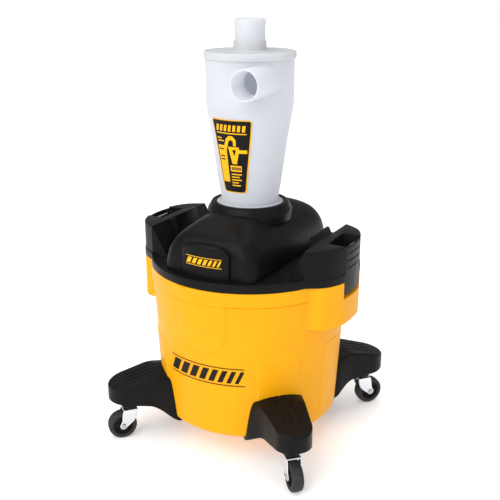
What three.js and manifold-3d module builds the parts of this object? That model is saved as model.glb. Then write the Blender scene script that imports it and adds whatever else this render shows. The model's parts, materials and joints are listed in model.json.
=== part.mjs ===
// Two-stage dust separator: a moulded cyclone on a latched lid, over a round tank that
// stands on four arms with swivel casters. Millimetres, +Z up, the front faces -Y.
// The origin is on the floor, on the axis that the tank and the cyclone share.

import * as THREE from 'three';
import { mergeVertices } from 'three/addons/utils/BufferGeometryUtils.js';
import Module from 'manifold-3d';

const wasm = await Module();
wasm.setup();

// ---- driving dimensions -------------------------------------------------------------

const SIDES_LARGE = 40;          // flats round the tank and the lid
const SIDES_MEDIUM = 30;         // round the cyclone
const SIDES_WHEEL = 20;
const SIDES_SMALL = 12;
const SIDES_TINY = 6;

const GAP = 0.3;                 // left between pieces that touch
const OVERSHOOT = 5;             // how far a cutting tool runs past what it cuts

const TANK_FLOOR = 52;           // underside of the tank
const TANK_TOP = 328.6;
const TANK_FOOT_R = 162;         // outside radius at the floor, before the corner
const TANK_FLAT_R = 154;         // flat part of the underside
const TANK_CORNER = [160.4, 54.4];
const TANK_CORNER_TOP = 60;
const TANK_DRAFT = 0.0575;       // growth of the radius for each mm of height
const TANK_WALL = 3.2;
const TANK_BASE = 3.6;           // thickness of the floor
const RIM_R = 178.4;             // band round the mouth, and the lid's rim
const BAND_Z = 304;

const BOSS_BOTTOM = 251;         // block under each latch
const BOSS_X = 203;              // outer face of the blocks and the latches
const RECESS_BOTTOM = 299;
const RECESS_X = 194;            // back wall of the latch recess
const RECESS_Y = 34.4;
const BLOCK_ROOT_X = 120;        // inner end of the block's and the tower's plan
const BLOCK_SHOULDER_X = 153;
const BLOCK_STEPS = 2;           // straight runs in each stretch of their curved side

const LID_BOTTOM = TANK_TOP + GAP;
const DECK = 343.4;
const SKIN = 3;                  // wall of the lid and the arms
const PLUG_R = 173.8;            // skirt that drops into the tank
const PLUG_BOTTOM = 319;
const GROOVE_R = 176.5;          // groove round the skirt for the gasket
const GROOVE_TOP = LID_BOTTOM + 4.4;
const GASKET_HIGH = 4.1;

const DOME_X = 90;               // half sizes of the dome at the deck
const DOME_Y = 151;
const DOME_RISE = 89;
const PANEL_X = 45;              // front panel
const PANEL_Y = 156;
const PANEL_CROWN = 7;
const PANEL_TOP = 396.5;
const PANEL_BACK_Y = -90;        // buried in the dome
const BADGE_HALF = 35;
const BADGE_Z = [364, 380];
const BADGE_THICK = 0.8;

const COLLAR_R = 75.5;
const COLLAR_TOP = 441;
const LEDGE_TOP = 432.7;         // the cyclone's seat inside the collar
const LEDGE_THICK = 3.2;
const THROAT_R = 46;

const TOWER_TOP = 392.7;         // housings round the latches
const TOWER_INNER_X = 151.7;
const TOWER_FOOT_X = 130;
const TOWER_TIP_Y = 92;
const POCKET_X = 166.7;
const POCKET_FLOOR = 348;
const FIN_X = 135;               // raised lip inside each tower
const FIN_TOP = 401;
const FIN_Y = 36;
const RIB_Y = 39;                // walls that carry the latch pin

const LATCH_Y = 33.4;
const LATCH_BOTTOM = 305.5;
const LATCH_TOP = 390;
const LATCH_WALL = 4;
const LATCH_BOW = 330;           // the face falls back by y squared over this
const GROOVE_LEVELS = [378, 365, 352];
const WEB_Y = 24;
const WEB_HALF = 3;
const PIVOT_X = 193.5;
const PIVOT_Z = 383;
const PIN_R = 2;
const PIN_HALF = 38;

const FLANGE_TOP = 439.6;
const FLANGE_R = 59;
const FLANGE_THICK = 3.3;
const CYCLONE_R = 76;
const CYCLONE_TOP = 697;
const CYCLONE_WALL = 2.5;
const CONE_FOOT_R = 49.8;        // outside of the cone where it meets the flange
const CONE_TOP_Z = 618;
const CAP_R = 79.2;
const CAP_TOP = 699.7;
const CAP_SKIRT = 687.8;
const CAP_WALL = 2.4;
const CAP_COLLAR_R = 27.8;
const CAP_COLLAR_TOP = 716.5;
const OUTLET_R = 26;
const OUTLET_BORE_R = 23.6;
const OUTLET_TOP = 751;
const OUTLET_BOTTOM = 612;
const INLET_R = 25.6;
const INLET_BORE_R = 23.2;
const INLET_X = 50;
const INLET_Y = -112;
const INLET_Z = 655.5;

const GASKET_R = FLANGE_R - 0.5;
const GASKET_BORE_R = 48;
const CLAMP_R = 58;              // ring under the lid's ledge
const CLAMP_BORE_R = 47;
const CLAMP_THICK = 3;
const CLAMP_SCREWS = 6;
const CLAMP_CIRCLE_R = 53;

const SCREW_R = 2;
const SCREW_HOLE_R = 2.7;
const SCREW_HEAD_R = 4.2;
const SCREW_HEAD_HIGH = 2.7;

const LABEL_STEP = 0.1;          // a label's back, beyond the gap to its wall
const LABEL_THICK = 0.6;
const CONE_LABEL = { foot: [21, 465], head: [38.5, 593], corner: 6 };
const TANK_DECAL = { foot: [74, 155], head: [74, 190], corner: 3 };

const ARM_AXIS_DEG = 46;         // each arm's angle from the front-to-back line
const ARM_TIP = 270;
const ARM_TIP_HALF = 32.5;
const ARM_TIP_CENTRE = 236;      // where the sides end and the round tip starts
const ARM_ROOT = 160;            // where the sides start to close
const ARM_ROOT_HALF = 43;
const ARM_CREST = 138;           // top of the arm at its root
const ARM_SLOPE = 0.245;
const ARM_UNDERSIDE = 76;
const FOOT_BOTTOM = 47;
const FOOT_REACH = 122;
const ARM_SCREW_R = 139;
const ARM_SCREW_HALF = 20;

const SWIVEL_R = 232.5;
const WHEEL_R = 26.5;
const WHEEL_WIDTH = 20;
const TREAD_R = 18.6;            // where the tyre meets the hub
const TREAD_EDGE_R = 24.4;
const TREAD_CHAMFER = 3;
const HUB_BOSS_R = 7;
const HUB_BOSS_HALF = 10.5;
const TRAIL = 15;
const FORK_TOP = 59;
const FORK_SHEET = 2;
const FORK_HALF = 13.2;
const FORK_EYE_R = 6.8;
const AXLE_R = 3;
const AXLE_HEAD_R = 4.4;
const AXLE_HEAD_HIGH = 1.9;
const STEM_R = 5.5;
const STEM_TOP = 100;
const SOCKET_R = 10;             // boss in each arm round the stem
const BEARING_R = 15;
const BEARING_TOP = 67;

// Direction in which each caster trails, in degrees from +X.
const CASTERS = {
  front_left: { side: [-1, -1], trailDeg: 229 },
  front_right: { side: [1, -1], trailDeg: -46 },
  back_right: { side: [1, 1], trailDeg: 50 },
  back_left: { side: [-1, 1], trailDeg: 120 },
};

const rad = THREE.MathUtils.degToRad;
const tankRadius = (z) => TANK_FOOT_R + (z - TANK_FLOOR) * TANK_DRAFT;

// ---- materials ----------------------------------------------------------------------

const finish = (color, roughness, metalness = 0) =>
  new THREE.MeshStandardMaterial({ color, roughness, metalness });

const yellow = finish(0xfcbc22, 0.42);
const black = finish(0x1f1f20, 0.55);
const milky = finish(0xdfe4ea, 0.35);
const cream = finish(0xf0f1f2, 0.4);
const zinc = finish(0xc6ccd2, 0.32, 0.9);
const steel = finish(0x9a9da0, 0.35, 0.9);
const rubber = finish(0x47474a, 0.8);
const seal = finish(0x141415, 0.85);
const labelBlack = finish(0x151515, 0.5);
const labelYellow = finish(0xfdbd1c, 0.5);

// ---- solids -------------------------------------------------------------------------

// Turns a closed three.js geometry into a solid that can be joined and cut.
function solid(geometry) {
  const bare = geometry.clone();
  bare.deleteAttribute('normal');
  bare.deleteAttribute('uv');
  const merged = mergeVertices(bare, 1e-3);
  const index = merged.index.array;
  const kept = [];
  for (let i = 0; i < index.length; i += 3) {
    const [a, b, c] = [index[i], index[i + 1], index[i + 2]];
    if (a !== b && b !== c && c !== a) kept.push(a, b, c);
  }
  const vertProperties = Float32Array.from(merged.attributes.position.array);
  const triVerts = Uint32Array.from(kept);
  return new wasm.Manifold(new wasm.Mesh({ numProp: 3, vertProperties, triVerts }));
}

function geometryOf(body) {
  const mesh = body.getMesh();
  const geometry = new THREE.BufferGeometry();
  geometry.setAttribute('position', new THREE.BufferAttribute(mesh.vertProperties, 3));
  geometry.setIndex(new THREE.BufferAttribute(mesh.triVerts, 1));
  geometry.computeVertexNormals();
  return geometry;
}

const join = (...parts) => geometryOf(parts.map(solid).reduce((a, b) => a.add(b)));
const cut = (first, ...tools) =>
  geometryOf(tools.map(solid).reduce((a, b) => a.subtract(b), solid(first)));
const common = (first, ...others) =>
  geometryOf(others.map(solid).reduce((a, b) => a.intersect(b), solid(first)));

// Turns a profile of [radius, z] points about the Z axis.
function turned(profile, segments = SIDES_MEDIUM) {
  const points = profile.map(([r, z]) => new THREE.Vector2(r, z));
  const closed = profile[0][0] > 0 || profile[profile.length - 1][0] > 0;
  if (THREE.ShapeUtils.area(points) < 0) points.reverse();
  if (closed) points.push(points[0].clone());
  return new THREE.LatheGeometry(points, segments).rotateX(Math.PI / 2);
}

const ring = (inner, outer, z0, z1, segments = SIDES_MEDIUM) =>
  turned([[inner, z0], [outer, z0], [outer, z1], [inner, z1]], segments);

const disc = (radius, z0, z1, segments = SIDES_MEDIUM) =>
  turned([[0, z0], [radius, z0], [radius, z1], [0, z1]], segments);

function box(x0, x1, y0, y1, z0, z1) {
  const geometry = new THREE.BoxGeometry(x1 - x0, y1 - y0, z1 - z0);
  return geometry.translate((x0 + x1) / 2, (y0 + y1) / 2, (z0 + z1) / 2);
}

const outlineOf = (points) => new THREE.Shape(points.map(([a, b]) => new THREE.Vector2(a, b)));

// A plan outline in X and Y, raised from z0 to z1.
function prism(shape, z0, z1, curveSegments = 12) {
  const options = { depth: z1 - z0, bevelEnabled: false, curveSegments };
  return new THREE.ExtrudeGeometry(shape, options).translate(0, 0, z0);
}

// A side outline in X and Z, spread from y0 to y1.
function slab(shape, y0, y1, curveSegments = 8) {
  const options = { depth: y1 - y0, bevelEnabled: false, curveSegments };
  return new THREE.ExtrudeGeometry(shape, options).rotateX(Math.PI / 2).translate(0, y1, 0);
}

const rod = (radius, y0, y1, x, z, segments = SIDES_SMALL) =>
  new THREE.CylinderGeometry(radius, radius, y1 - y0, segments).translate(x, (y0 + y1) / 2, z);

const mirrored = (geometry) => geometry.clone().rotateZ(Math.PI);

// ---- tank ---------------------------------------------------------------------------

// Plan of the latch block and of the tower above it, on the +X side.
function bossOutline(inset = 0) {
  const shape = new THREE.Shape();
  const tip = TOWER_TIP_Y - inset * 1.5;
  shape.moveTo(BLOCK_ROOT_X, -tip);
  shape.lineTo(BLOCK_SHOULDER_X - inset, -tip);
  shape.splineThru([
    new THREE.Vector2(182 - inset * 0.8, -71 + inset * 0.8),
    new THREE.Vector2(199.5 - inset, -36 + inset * 0.3),
    new THREE.Vector2(BOSS_X - inset, 0),
    new THREE.Vector2(199.5 - inset, 36 - inset * 0.3),
    new THREE.Vector2(182 - inset * 0.8, 71 - inset * 0.8),
    new THREE.Vector2(BLOCK_SHOULDER_X - inset, tip),
  ]);
  shape.lineTo(BLOCK_ROOT_X, tip);
  return shape;
}

function makeTank() {
  const top = TANK_TOP;
  const past = top + OVERSHOOT;
  const outer = turned([
    [0, TANK_FLOOR], [TANK_FLAT_R, TANK_FLOOR], TANK_CORNER, [tankRadius(TANK_CORNER_TOP), TANK_CORNER_TOP],
    [tankRadius(BAND_Z), BAND_Z], [RIM_R, BAND_Z + 2.5], [RIM_R, top], [0, top],
  ], SIDES_LARGE);
  const base = TANK_FLOOR + TANK_BASE;
  const bend = TANK_CORNER_TOP + 8;
  const inner = turned([
    [0, base], [TANK_FLAT_R - 4, base], [tankRadius(bend) - TANK_WALL - 1.5, base + 4.4],
    [tankRadius(bend) - TANK_WALL, bend], [tankRadius(top) - TANK_WALL, past], [0, past],
  ], SIDES_LARGE);
  const boss = prism(bossOutline(), BOSS_BOTTOM, top, BLOCK_STEPS);
  const recess = box(RECESS_X, BOSS_X + OVERSHOOT, -RECESS_Y, RECESS_Y, RECESS_BOTTOM, past);
  const wall = disc(tankRadius(top) + 2.2, BOSS_BOTTOM, past, SIDES_LARGE);
  const backY = RECESS_Y + SKIN;
  const backX = RECESS_X - TANK_WALL;
  const recessBack = box(backX, BOSS_X + OVERSHOOT, -backY, backY, BOSS_BOTTOM, past + OVERSHOOT);
  const room = prism(bossOutline(TANK_WALL), BOSS_BOTTOM + TANK_WALL, past, BLOCK_STEPS);
  const cores = cut(room, wall, recessBack);
  const screwBosses = [];
  const screwHoles = [];
  for (const { side } of Object.values(CASTERS)) {
    for (const half of [-ARM_SCREW_HALF, ARM_SCREW_HALF]) {
      const [x, y] = armPoint(side, ARM_SCREW_R, half);
      screwBosses.push(disc(6, TANK_FLOOR + 1, TANK_FLOOR + 15, SIDES_TINY).translate(x, y, 0));
      const hole = disc(SCREW_HOLE_R, TANK_FLOOR - OVERSHOOT, TANK_FLOOR + 12, SIDES_TINY);
      screwHoles.push(hole.translate(x, y, 0));
    }
  }
  const body = join(outer, boss, mirrored(boss));
  const hollow = cut(body, inner, recess, mirrored(recess), cores, mirrored(cores));
  return cut(join(hollow, ...screwBosses), ...screwHoles);
}

// ---- lid ----------------------------------------------------------------------------

// Rings of the dome from the deck up: [rise, half width, half length, squareness].
const DOME_RINGS = [
  [0, DOME_X, DOME_Y, 8.4], [36, 84.5, 149, 7], [57, 74, 143, 5], [69, 60.5, 129, 4],
  [79, 46.5, 105, 3.2], [86, 31, 74, 2.6], [DOME_RISE, 20, 48, 2.3],
];

// The dome is a drum whose rings follow rounded rectangles that soften as they rise.
function dome(inset, bottom) {
  const rings = [[bottom - DECK, ...DOME_RINGS[0].slice(1)], ...DOME_RINGS];
  const drum = new THREE.CylinderGeometry(1, 1, rings.length - 1, SIDES_MEDIUM, rings.length - 1);
  drum.rotateX(Math.PI / 2);
  const place = drum.attributes.position;
  for (let i = 0; i < place.count; i += 1) {
    const [x, y] = [place.getX(i), place.getY(i)];
    const [rise, halfX, halfY, power] = rings[Math.round(place.getZ(i) + (rings.length - 1) / 2)];
    const angle = Math.atan2(y, x);
    const [c, s] = [Math.cos(angle), Math.sin(angle)];
    const centre = Math.hypot(x, y) < 1e-6 ? 0 : 1;
    const round = centre / (Math.abs(c) ** power + Math.abs(s) ** power) ** (1 / power);
    const z = DECK + rise - (inset * Math.max(rise, 0)) / DOME_RISE;
    place.setXYZ(i, (halfX - inset) * c * round, (halfY - inset) * s * round, z);
  }
  return drum;
}

function panelOutline(inset) {
  const shape = new THREE.Shape();
  shape.moveTo(-PANEL_X + inset, PANEL_BACK_Y);
  shape.lineTo(-PANEL_X + inset, -PANEL_Y + inset);
  const control = -PANEL_Y - 2 * PANEL_CROWN + inset;
  shape.quadraticCurveTo(0, control, PANEL_X - inset, -PANEL_Y + inset);
  shape.lineTo(PANEL_X - inset, PANEL_BACK_Y);
  return shape;
}

function makeTower() {
  const slope = outlineOf([
    [TOWER_INNER_X, TOWER_TOP], [TOWER_FOOT_X, DECK - 2], [TOWER_FOOT_X, LID_BOTTOM],
    [BOSS_X + OVERSHOOT, LID_BOTTOM], [BOSS_X + OVERSHOOT, TOWER_TOP],
  ]);
  const across = slab(slope, -TOWER_TIP_Y - OVERSHOOT, TOWER_TIP_Y + OVERSHOOT);
  const housing = common(prism(bossOutline(), LID_BOTTOM, TOWER_TOP, BLOCK_STEPS), across);
  const fin = slab(outlineOf([
    [TOWER_INNER_X + 4, TOWER_TOP], [FIN_X, FIN_TOP], [FIN_X - 4, DECK - 2], [TOWER_INNER_X + 4, DECK - 2],
  ]), -FIN_Y, FIN_Y);
  const [outside, over] = [BOSS_X + OVERSHOOT, FIN_TOP + OVERSHOOT];
  const pocket = box(POCKET_X, outside, -RECESS_Y, RECESS_Y, POCKET_FLOOR, over);
  const window = box(RECESS_X, outside, -RECESS_Y, RECESS_Y, LID_BOTTOM - OVERSHOOT, over);
  const pinHole = rod(PIN_R + GAP, -PIN_HALF - GAP, PIN_HALF + GAP, PIVOT_X, PIVOT_Z);
  return cut(join(housing, fin), pocket, window, pinHole);
}

// Room under the tower's skin beside the pocket, clear of the sealing rim.
function towerCores() {
  const [under, over] = [LID_BOTTOM - OVERSHOOT, TOWER_TOP + OVERSHOOT];
  const slope = outlineOf([
    [TOWER_INNER_X + 4, TOWER_TOP - SKIN], [TOWER_FOOT_X + 6, DECK], [TOWER_FOOT_X + 6, under],
    [BOSS_X + OVERSHOOT, under], [BOSS_X + OVERSHOOT, TOWER_TOP - SKIN],
  ]);
  const room = common(prism(bossOutline(SKIN), under, TOWER_TOP, BLOCK_STEPS), slab(slope, -90, 90));
  const middle = box(TOWER_FOOT_X - 20, BOSS_X + OVERSHOOT, -RIB_Y, RIB_Y, under - OVERSHOOT, over);
  return [
    common(cut(room, middle), disc(PLUG_R - SKIN * 2, under, TOWER_TOP)),
    cut(room, middle, disc(RIM_R + 1.5, under - OVERSHOOT, over, SIDES_LARGE)),
  ];
}

function makeLidShell() {
  const deck = turned([
    [0, DECK - SKIN], [PLUG_R - SKIN, DECK - SKIN], [PLUG_R - SKIN, PLUG_BOTTOM], [PLUG_R, PLUG_BOTTOM],
    [PLUG_R, GROOVE_TOP], [GROOVE_R, GROOVE_TOP], [GROOVE_R, LID_BOTTOM], [RIM_R, LID_BOTTOM],
    [RIM_R, DECK - 1], [RIM_R - 1.2, DECK], [0, DECK],
  ], SIDES_LARGE);
  const tower = makeTower();
  const panel = prism(panelOutline(0), DECK - 1, PANEL_TOP, 5);
  const panelRoom = prism(panelOutline(SKIN), DECK - SKIN * 3, PANEL_TOP - SKIN, 5);
  const outside = join(deck, dome(0, DECK - 1), panel, tower, mirrored(tower));
  const cores = towerCores();
  const mouth = disc(PLUG_R - SKIN, PLUG_BOTTOM - OVERSHOOT, DECK - SKIN, SIDES_LARGE);
  const groove = ring(PLUG_R, GROOVE_R, PLUG_BOTTOM - OVERSHOOT, GROOVE_TOP, SIDES_LARGE);
  const rooms = [dome(SKIN, DECK - SKIN * 3), panelRoom, mouth, groove, ...cores, ...cores.map(mirrored)];
  const shell = cut(outside, ...rooms);
  const [seatR, ledgeFoot, over] = [FLANGE_R + GAP * 2, LEDGE_TOP - LEDGE_THICK, COLLAR_TOP + OVERSHOOT];
  const collar = turned([
    [seatR, ledgeFoot], [COLLAR_R, LEDGE_TOP - 16], [COLLAR_R, LEDGE_TOP - 4],
    [COLLAR_R - 3, COLLAR_TOP - 4], [COLLAR_R - 9.5, COLLAR_TOP], [seatR, COLLAR_TOP],
  ]);
  const ledge = ring(THROAT_R, FLANGE_R + 2, ledgeFoot, LEDGE_TOP);
  const seat = disc(seatR, LEDGE_TOP, over);
  const throat = disc(THROAT_R, ledgeFoot - OVERSHOOT, over);
  const room = disc(seatR, LEDGE_TOP - 30, ledgeFoot);
  const opened = cut(join(cut(shell, room), collar, ledge), seat, throat);
  const hole = () => disc(SCREW_HOLE_R, ledgeFoot - OVERSHOOT, over, SIDES_TINY);
  return cut(opened, ...clampCircle(hole));
}

// Copies of a tool at each clamp screw.
function clampCircle(make) {
  const copies = [];
  for (let i = 0; i < CLAMP_SCREWS; i += 1) {
    const angle = (i + 0.5) * 2 * Math.PI / CLAMP_SCREWS;
    const [x, y] = [CLAMP_CIRCLE_R * Math.cos(angle), CLAMP_CIRCLE_R * Math.sin(angle)];
    copies.push(make().translate(x, y, 0));
  }
  return copies;
}

// ---- latches ------------------------------------------------------------------------

// Plan of the latch plate: its outer face bows with the block that it covers.
function latchPlan() {
  const face = (y) => BOSS_X - y * y / LATCH_BOW;
  const steps = [-1, -0.6, -0.2, 0.2, 0.6, 1].map((k) => k * LATCH_Y);
  const outside = steps.map((y) => [face(y), y]);
  const inside = steps.slice().reverse().map((y) => [face(y) - LATCH_WALL, y]);
  return outlineOf([...outside, ...inside]);
}

function makeLatch() {
  const plate = prism(latchPlan(), LATCH_BOTTOM, LATCH_TOP);
  const grooveY = LATCH_Y - 8;
  const grooves = GROOVE_LEVELS.map((z) =>
    box(BOSS_X - 1.2, BOSS_X + OVERSHOOT, -grooveY, grooveY, z - 0.8, z + 0.8));
  const web = outlineOf([
    [BOSS_X - LATCH_WALL + 1, PIVOT_Z + 5], [PIVOT_X, PIVOT_Z + 5.5], [PIVOT_X - 4.8, PIVOT_Z + 2.6],
    [PIVOT_X - 4.8, PIVOT_Z - 2.6], [PIVOT_X, PIVOT_Z - 5.5], [BOSS_X - LATCH_WALL + 1, PIVOT_Z - 26],
  ]);
  const webs = [-WEB_Y, WEB_Y].map((y) => slab(web, y - WEB_HALF, y + WEB_HALF));
  const hookFoot = LATCH_BOTTOM + SKIN;
  const hook = box(RECESS_X + 1.4, BOSS_X - LATCH_WALL + 0.5, -20, 20, hookFoot, hookFoot + SKIN);
  const bore = rod(PIN_R + GAP, -PIN_HALF, PIN_HALF, PIVOT_X, PIVOT_Z);
  return cut(join(plate, ...webs, hook), bore, ...grooves);
}

// ---- cyclone ------------------------------------------------------------------------

// Outside of the cyclone, from the flange up: a cone, a soft shoulder and a cylinder.
const conePoints = (offset) => [
  [CONE_FOOT_R + offset, FLANGE_TOP], [57.2 + offset, 488], [66.4 + offset, 556],
  [72.3 + offset, 590], [75.1 + offset, 606], [CYCLONE_R + offset, CONE_TOP_Z],
];

function makeCycloneBody() {
  const skinSide = conePoints(0);
  const bore = conePoints(-CYCLONE_WALL);
  const flangeFoot = FLANGE_TOP - FLANGE_THICK;
  const outer = turned([
    [0, flangeFoot], [FLANGE_R, flangeFoot], [FLANGE_R, FLANGE_TOP], ...skinSide,
    [CYCLONE_R, CYCLONE_TOP], [0, CYCLONE_TOP],
  ], SIDES_MEDIUM);
  const inner = turned([
    [0, flangeFoot - OVERSHOOT], [bore[0][0], flangeFoot - OVERSHOOT], ...bore,
    [CYCLONE_R - CYCLONE_WALL, CYCLONE_TOP + OVERSHOOT], [0, CYCLONE_TOP + OVERSHOOT],
  ], SIDES_MEDIUM);
  const pipe = (radius, y0, y1) => rod(radius, y0, y1, INLET_X, INLET_Z, SIDES_WHEEL);
  const shell = cut(join(outer, pipe(INLET_R, INLET_Y, 0)), inner);
  const drilled = cut(shell, pipe(INLET_BORE_R, INLET_Y - OVERSHOOT, 1));
  const hole = () => disc(SCREW_HOLE_R, flangeFoot - OVERSHOOT, FLANGE_TOP - 0.8, SIDES_TINY);
  return cut(drilled, ...clampCircle(hole));
}

const makeCap = () => turned([
  [OUTLET_R + GAP, CAP_TOP - CAP_WALL], [CYCLONE_R + 0.4, CAP_TOP - CAP_WALL], [CYCLONE_R + 0.4, CAP_SKIRT],
  [CAP_R, CAP_SKIRT], [CAP_R, CAP_TOP - 1.5], [CAP_R - 1.5, CAP_TOP], [CAP_COLLAR_R + 0.6, CAP_TOP],
  [CAP_COLLAR_R, CAP_COLLAR_TOP], [OUTLET_R + GAP, CAP_COLLAR_TOP],
], SIDES_MEDIUM);

// The part of a turned cover that an upright outline meets on the front.
function patch(profile, shape, segments) {
  const options = { depth: BOSS_X, bevelEnabled: false, curveSegments: 5 };
  const cutter = new THREE.ExtrudeGeometry(shape, options);
  return common(turned(profile, segments), cutter.rotateX(Math.PI / 2));
}

// An upright outline with round corners, given as half width and level at its foot and head.
function roundedPatch([a0, z0], [a1, z1], corner) {
  const shape = new THREE.Shape();
  shape.moveTo(-a0 + corner, z0);
  shape.lineTo(a0 - corner, z0);
  shape.quadraticCurveTo(a0, z0, a0, z0 + corner);
  shape.lineTo(a1, z1 - corner);
  shape.quadraticCurveTo(a1, z1, a1 - corner, z1);
  shape.lineTo(-a1 + corner, z1);
  shape.quadraticCurveTo(-a1, z1, -a1, z1 - corner);
  shape.lineTo(-a0, z0 + corner);
  shape.quadraticCurveTo(-a0, z0, -a0 + corner, z0);
  return shape;
}

function makeConeLabel() {
  const near = conePoints(GAP + LABEL_STEP);
  const far = conePoints(GAP + LABEL_STEP + LABEL_THICK).reverse();
  const { foot, head, corner } = CONE_LABEL;
  return patch([...near, ...far], roundedPatch(foot, head, corner), SIDES_MEDIUM);
}

function makeTankDecal() {
  const { foot, head, corner } = TANK_DECAL;
  const [z0, z1] = [foot[1] - OVERSHOOT, head[1] + OVERSHOOT];
  const [near, far] = [GAP + LABEL_STEP, GAP + LABEL_STEP + LABEL_THICK];
  const profile = [[z0, near], [z0, far], [z1, far], [z1, near]];
  const cover = profile.map(([z, offset]) => [tankRadius(z) + offset, z]);
  return patch(cover, roundedPatch(foot, head, corner), SIDES_LARGE);
}

function makeLidBadge() {
  const [z0, z1] = BADGE_Z;
  const block = prism(panelOutline(-GAP - BADGE_THICK), z0 - 2, z1 + 2, 10);
  const behind = prism(panelOutline(-GAP), z0 - OVERSHOOT, z1 + OVERSHOOT, 10);
  const options = { depth: 60, bevelEnabled: false, curveSegments: 5 };
  const plaque = new THREE.ExtrudeGeometry(roundedPatch([BADGE_HALF, z0], [BADGE_HALF, z1], 3), options);
  return cut(common(block, plaque.rotateX(Math.PI / 2).translate(0, -130, 0)), behind);
}

// A screw that points up, with its head below the face at the given level.
function screw(face, shankTop) {
  const [top, foot] = [face - GAP, face - GAP - SCREW_HEAD_HIGH];
  return turned([
    [0, foot], [SCREW_HEAD_R, foot], [SCREW_HEAD_R, top], [SCREW_R, top], [SCREW_R, shankTop], [0, shankTop],
  ], SIDES_TINY);
}

// ---- arms and casters ---------------------------------------------------------------

const armAngle = ([sx, sy]) =>
  Math.atan2(sy * Math.cos(rad(ARM_AXIS_DEG)), sx * Math.sin(rad(ARM_AXIS_DEG)));

function armPoint(side, along, across) {
  const angle = armAngle(side);
  const [c, s] = [Math.cos(angle), Math.sin(angle)];
  return [along * c - across * s, along * s + across * c];
}

// Plan of an arm that points along +X, from under the tank to its round tip.
function armPlan(inset) {
  const shape = new THREE.Shape();
  const [root, tip] = [ARM_ROOT_HALF - inset, ARM_TIP_HALF - inset];
  const reach = ARM_TIP - ARM_TIP_CENTRE - inset;
  shape.moveTo(FOOT_REACH, -root);
  shape.lineTo(ARM_ROOT, -root);
  shape.lineTo(ARM_TIP_CENTRE, -tip);
  shape.absellipse(ARM_TIP_CENTRE, 0, reach, tip, -Math.PI / 2, Math.PI / 2);
  shape.lineTo(ARM_ROOT, root);
  shape.lineTo(FOOT_REACH, root);
  return shape;
}

const armCrest = (along) => ARM_CREST - (along - ARM_ROOT) * ARM_SLOPE;

function makeArm() {
  const side = outlineOf([
    [FOOT_REACH, FOOT_BOTTOM], [152, FOOT_BOTTOM], [160, 54], [171, 63.5], [182, 71], [194, 75.5],
    [220, ARM_UNDERSIDE - 1], [ARM_TIP + 1, ARM_UNDERSIDE + 4], [ARM_TIP + 1, 105], [262, armCrest(258)],
    [FOOT_REACH, armCrest(FOOT_REACH)],
  ]);
  const room = outlineOf([
    [165, 40], [ARM_TIP, 40], [ARM_TIP, 100], [260, armCrest(260) - SKIN], [165, armCrest(165) - SKIN],
  ]);
  const shapeOf = (inset, outline) => common(
    prism(armPlan(inset), FOOT_BOTTOM - OVERSHOOT * 3, ARM_CREST + OVERSHOOT * 2, 5),
    slab(outline, -ARM_ROOT_HALF - OVERSHOOT, ARM_ROOT_HALF + OVERSHOOT),
  );
  const outer = shapeOf(0, side);
  const inner = shapeOf(SKIN, room);
  const socket = disc(SOCKET_R, ARM_UNDERSIDE - 2, armCrest(SWIVEL_R) - 1, SIDES_SMALL);
  const socketBore = disc(STEM_R + GAP * 2, FORK_TOP, STEM_TOP + GAP, SIDES_SMALL);
  const boss = socket.translate(SWIVEL_R, 0, 0);
  const tankRoom = turned([
    [0, TANK_FLOOR], [TANK_FLAT_R, TANK_FLOOR], TANK_CORNER, [tankRadius(TANK_CORNER_TOP), TANK_CORNER_TOP],
    [tankRadius(ARM_CREST + OVERSHOOT * 2), ARM_CREST + OVERSHOOT * 2], [0, ARM_CREST + OVERSHOOT * 2],
  ].map(([r, z]) => [r > 0 ? r + GAP * 2 : 0, z - GAP * 2]), SIDES_LARGE).rotateZ(rad(90 - ARM_AXIS_DEG));
  const holes = [-ARM_SCREW_HALF, ARM_SCREW_HALF].map((half) =>
    disc(SCREW_HOLE_R, FOOT_BOTTOM - OVERSHOOT, TANK_FLOOR + OVERSHOOT, SIDES_TINY)
      .translate(ARM_SCREW_R, half, 0));
  return cut(join(cut(outer, inner), boss), tankRoom, socketBore.translate(SWIVEL_R, 0, 0), ...holes);
}

const makeStem = () => turned([
  [0, FORK_TOP + GAP], [BEARING_R - 2, FORK_TOP + GAP], [BEARING_R, BEARING_TOP], [STEM_R, BEARING_TOP],
  [STEM_R, STEM_TOP], [0, STEM_TOP],
], SIDES_SMALL);

// Fork of a caster that trails along +X from the swivel axis.
function makeFork() {
  const leg = new THREE.Shape();
  leg.moveTo(-12, FORK_TOP);
  leg.quadraticCurveTo(-11, 35, TRAIL - 5.5, WHEEL_R - 4.5);
  leg.absarc(TRAIL, WHEEL_R, FORK_EYE_R, rad(-140), rad(10), false);
  leg.lineTo(TRAIL + 1, 46);
  leg.lineTo(TRAIL, FORK_TOP);
  const block = slab(leg, -FORK_HALF, FORK_HALF, 4);
  const inside = FORK_HALF - FORK_SHEET;
  const room = box(-WHEEL_R, WHEEL_R * 2, -inside, inside, 0, FORK_TOP - FORK_SHEET);
  const eye = rod(AXLE_R + GAP, -FORK_HALF - OVERSHOOT, FORK_HALF + OVERSHOOT, TRAIL, WHEEL_R);
  return cut(block, room, eye);
}

// Profiles about the wheel's own axis, turned and then laid across the fork.
const acrossFork = (profile, segments) =>
  turned(profile, segments).rotateX(Math.PI / 2).translate(TRAIL, 0, WHEEL_R);

const makeAxle = () => {
  const face = FORK_HALF + GAP;
  const end = face + AXLE_HEAD_HIGH;
  return acrossFork([
    [0, -end], [AXLE_HEAD_R, -end], [AXLE_HEAD_R, -face], [AXLE_R, -face],
    [AXLE_R, face], [AXLE_HEAD_R, face], [AXLE_HEAD_R, end], [0, end],
  ], SIDES_SMALL);
};

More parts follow.
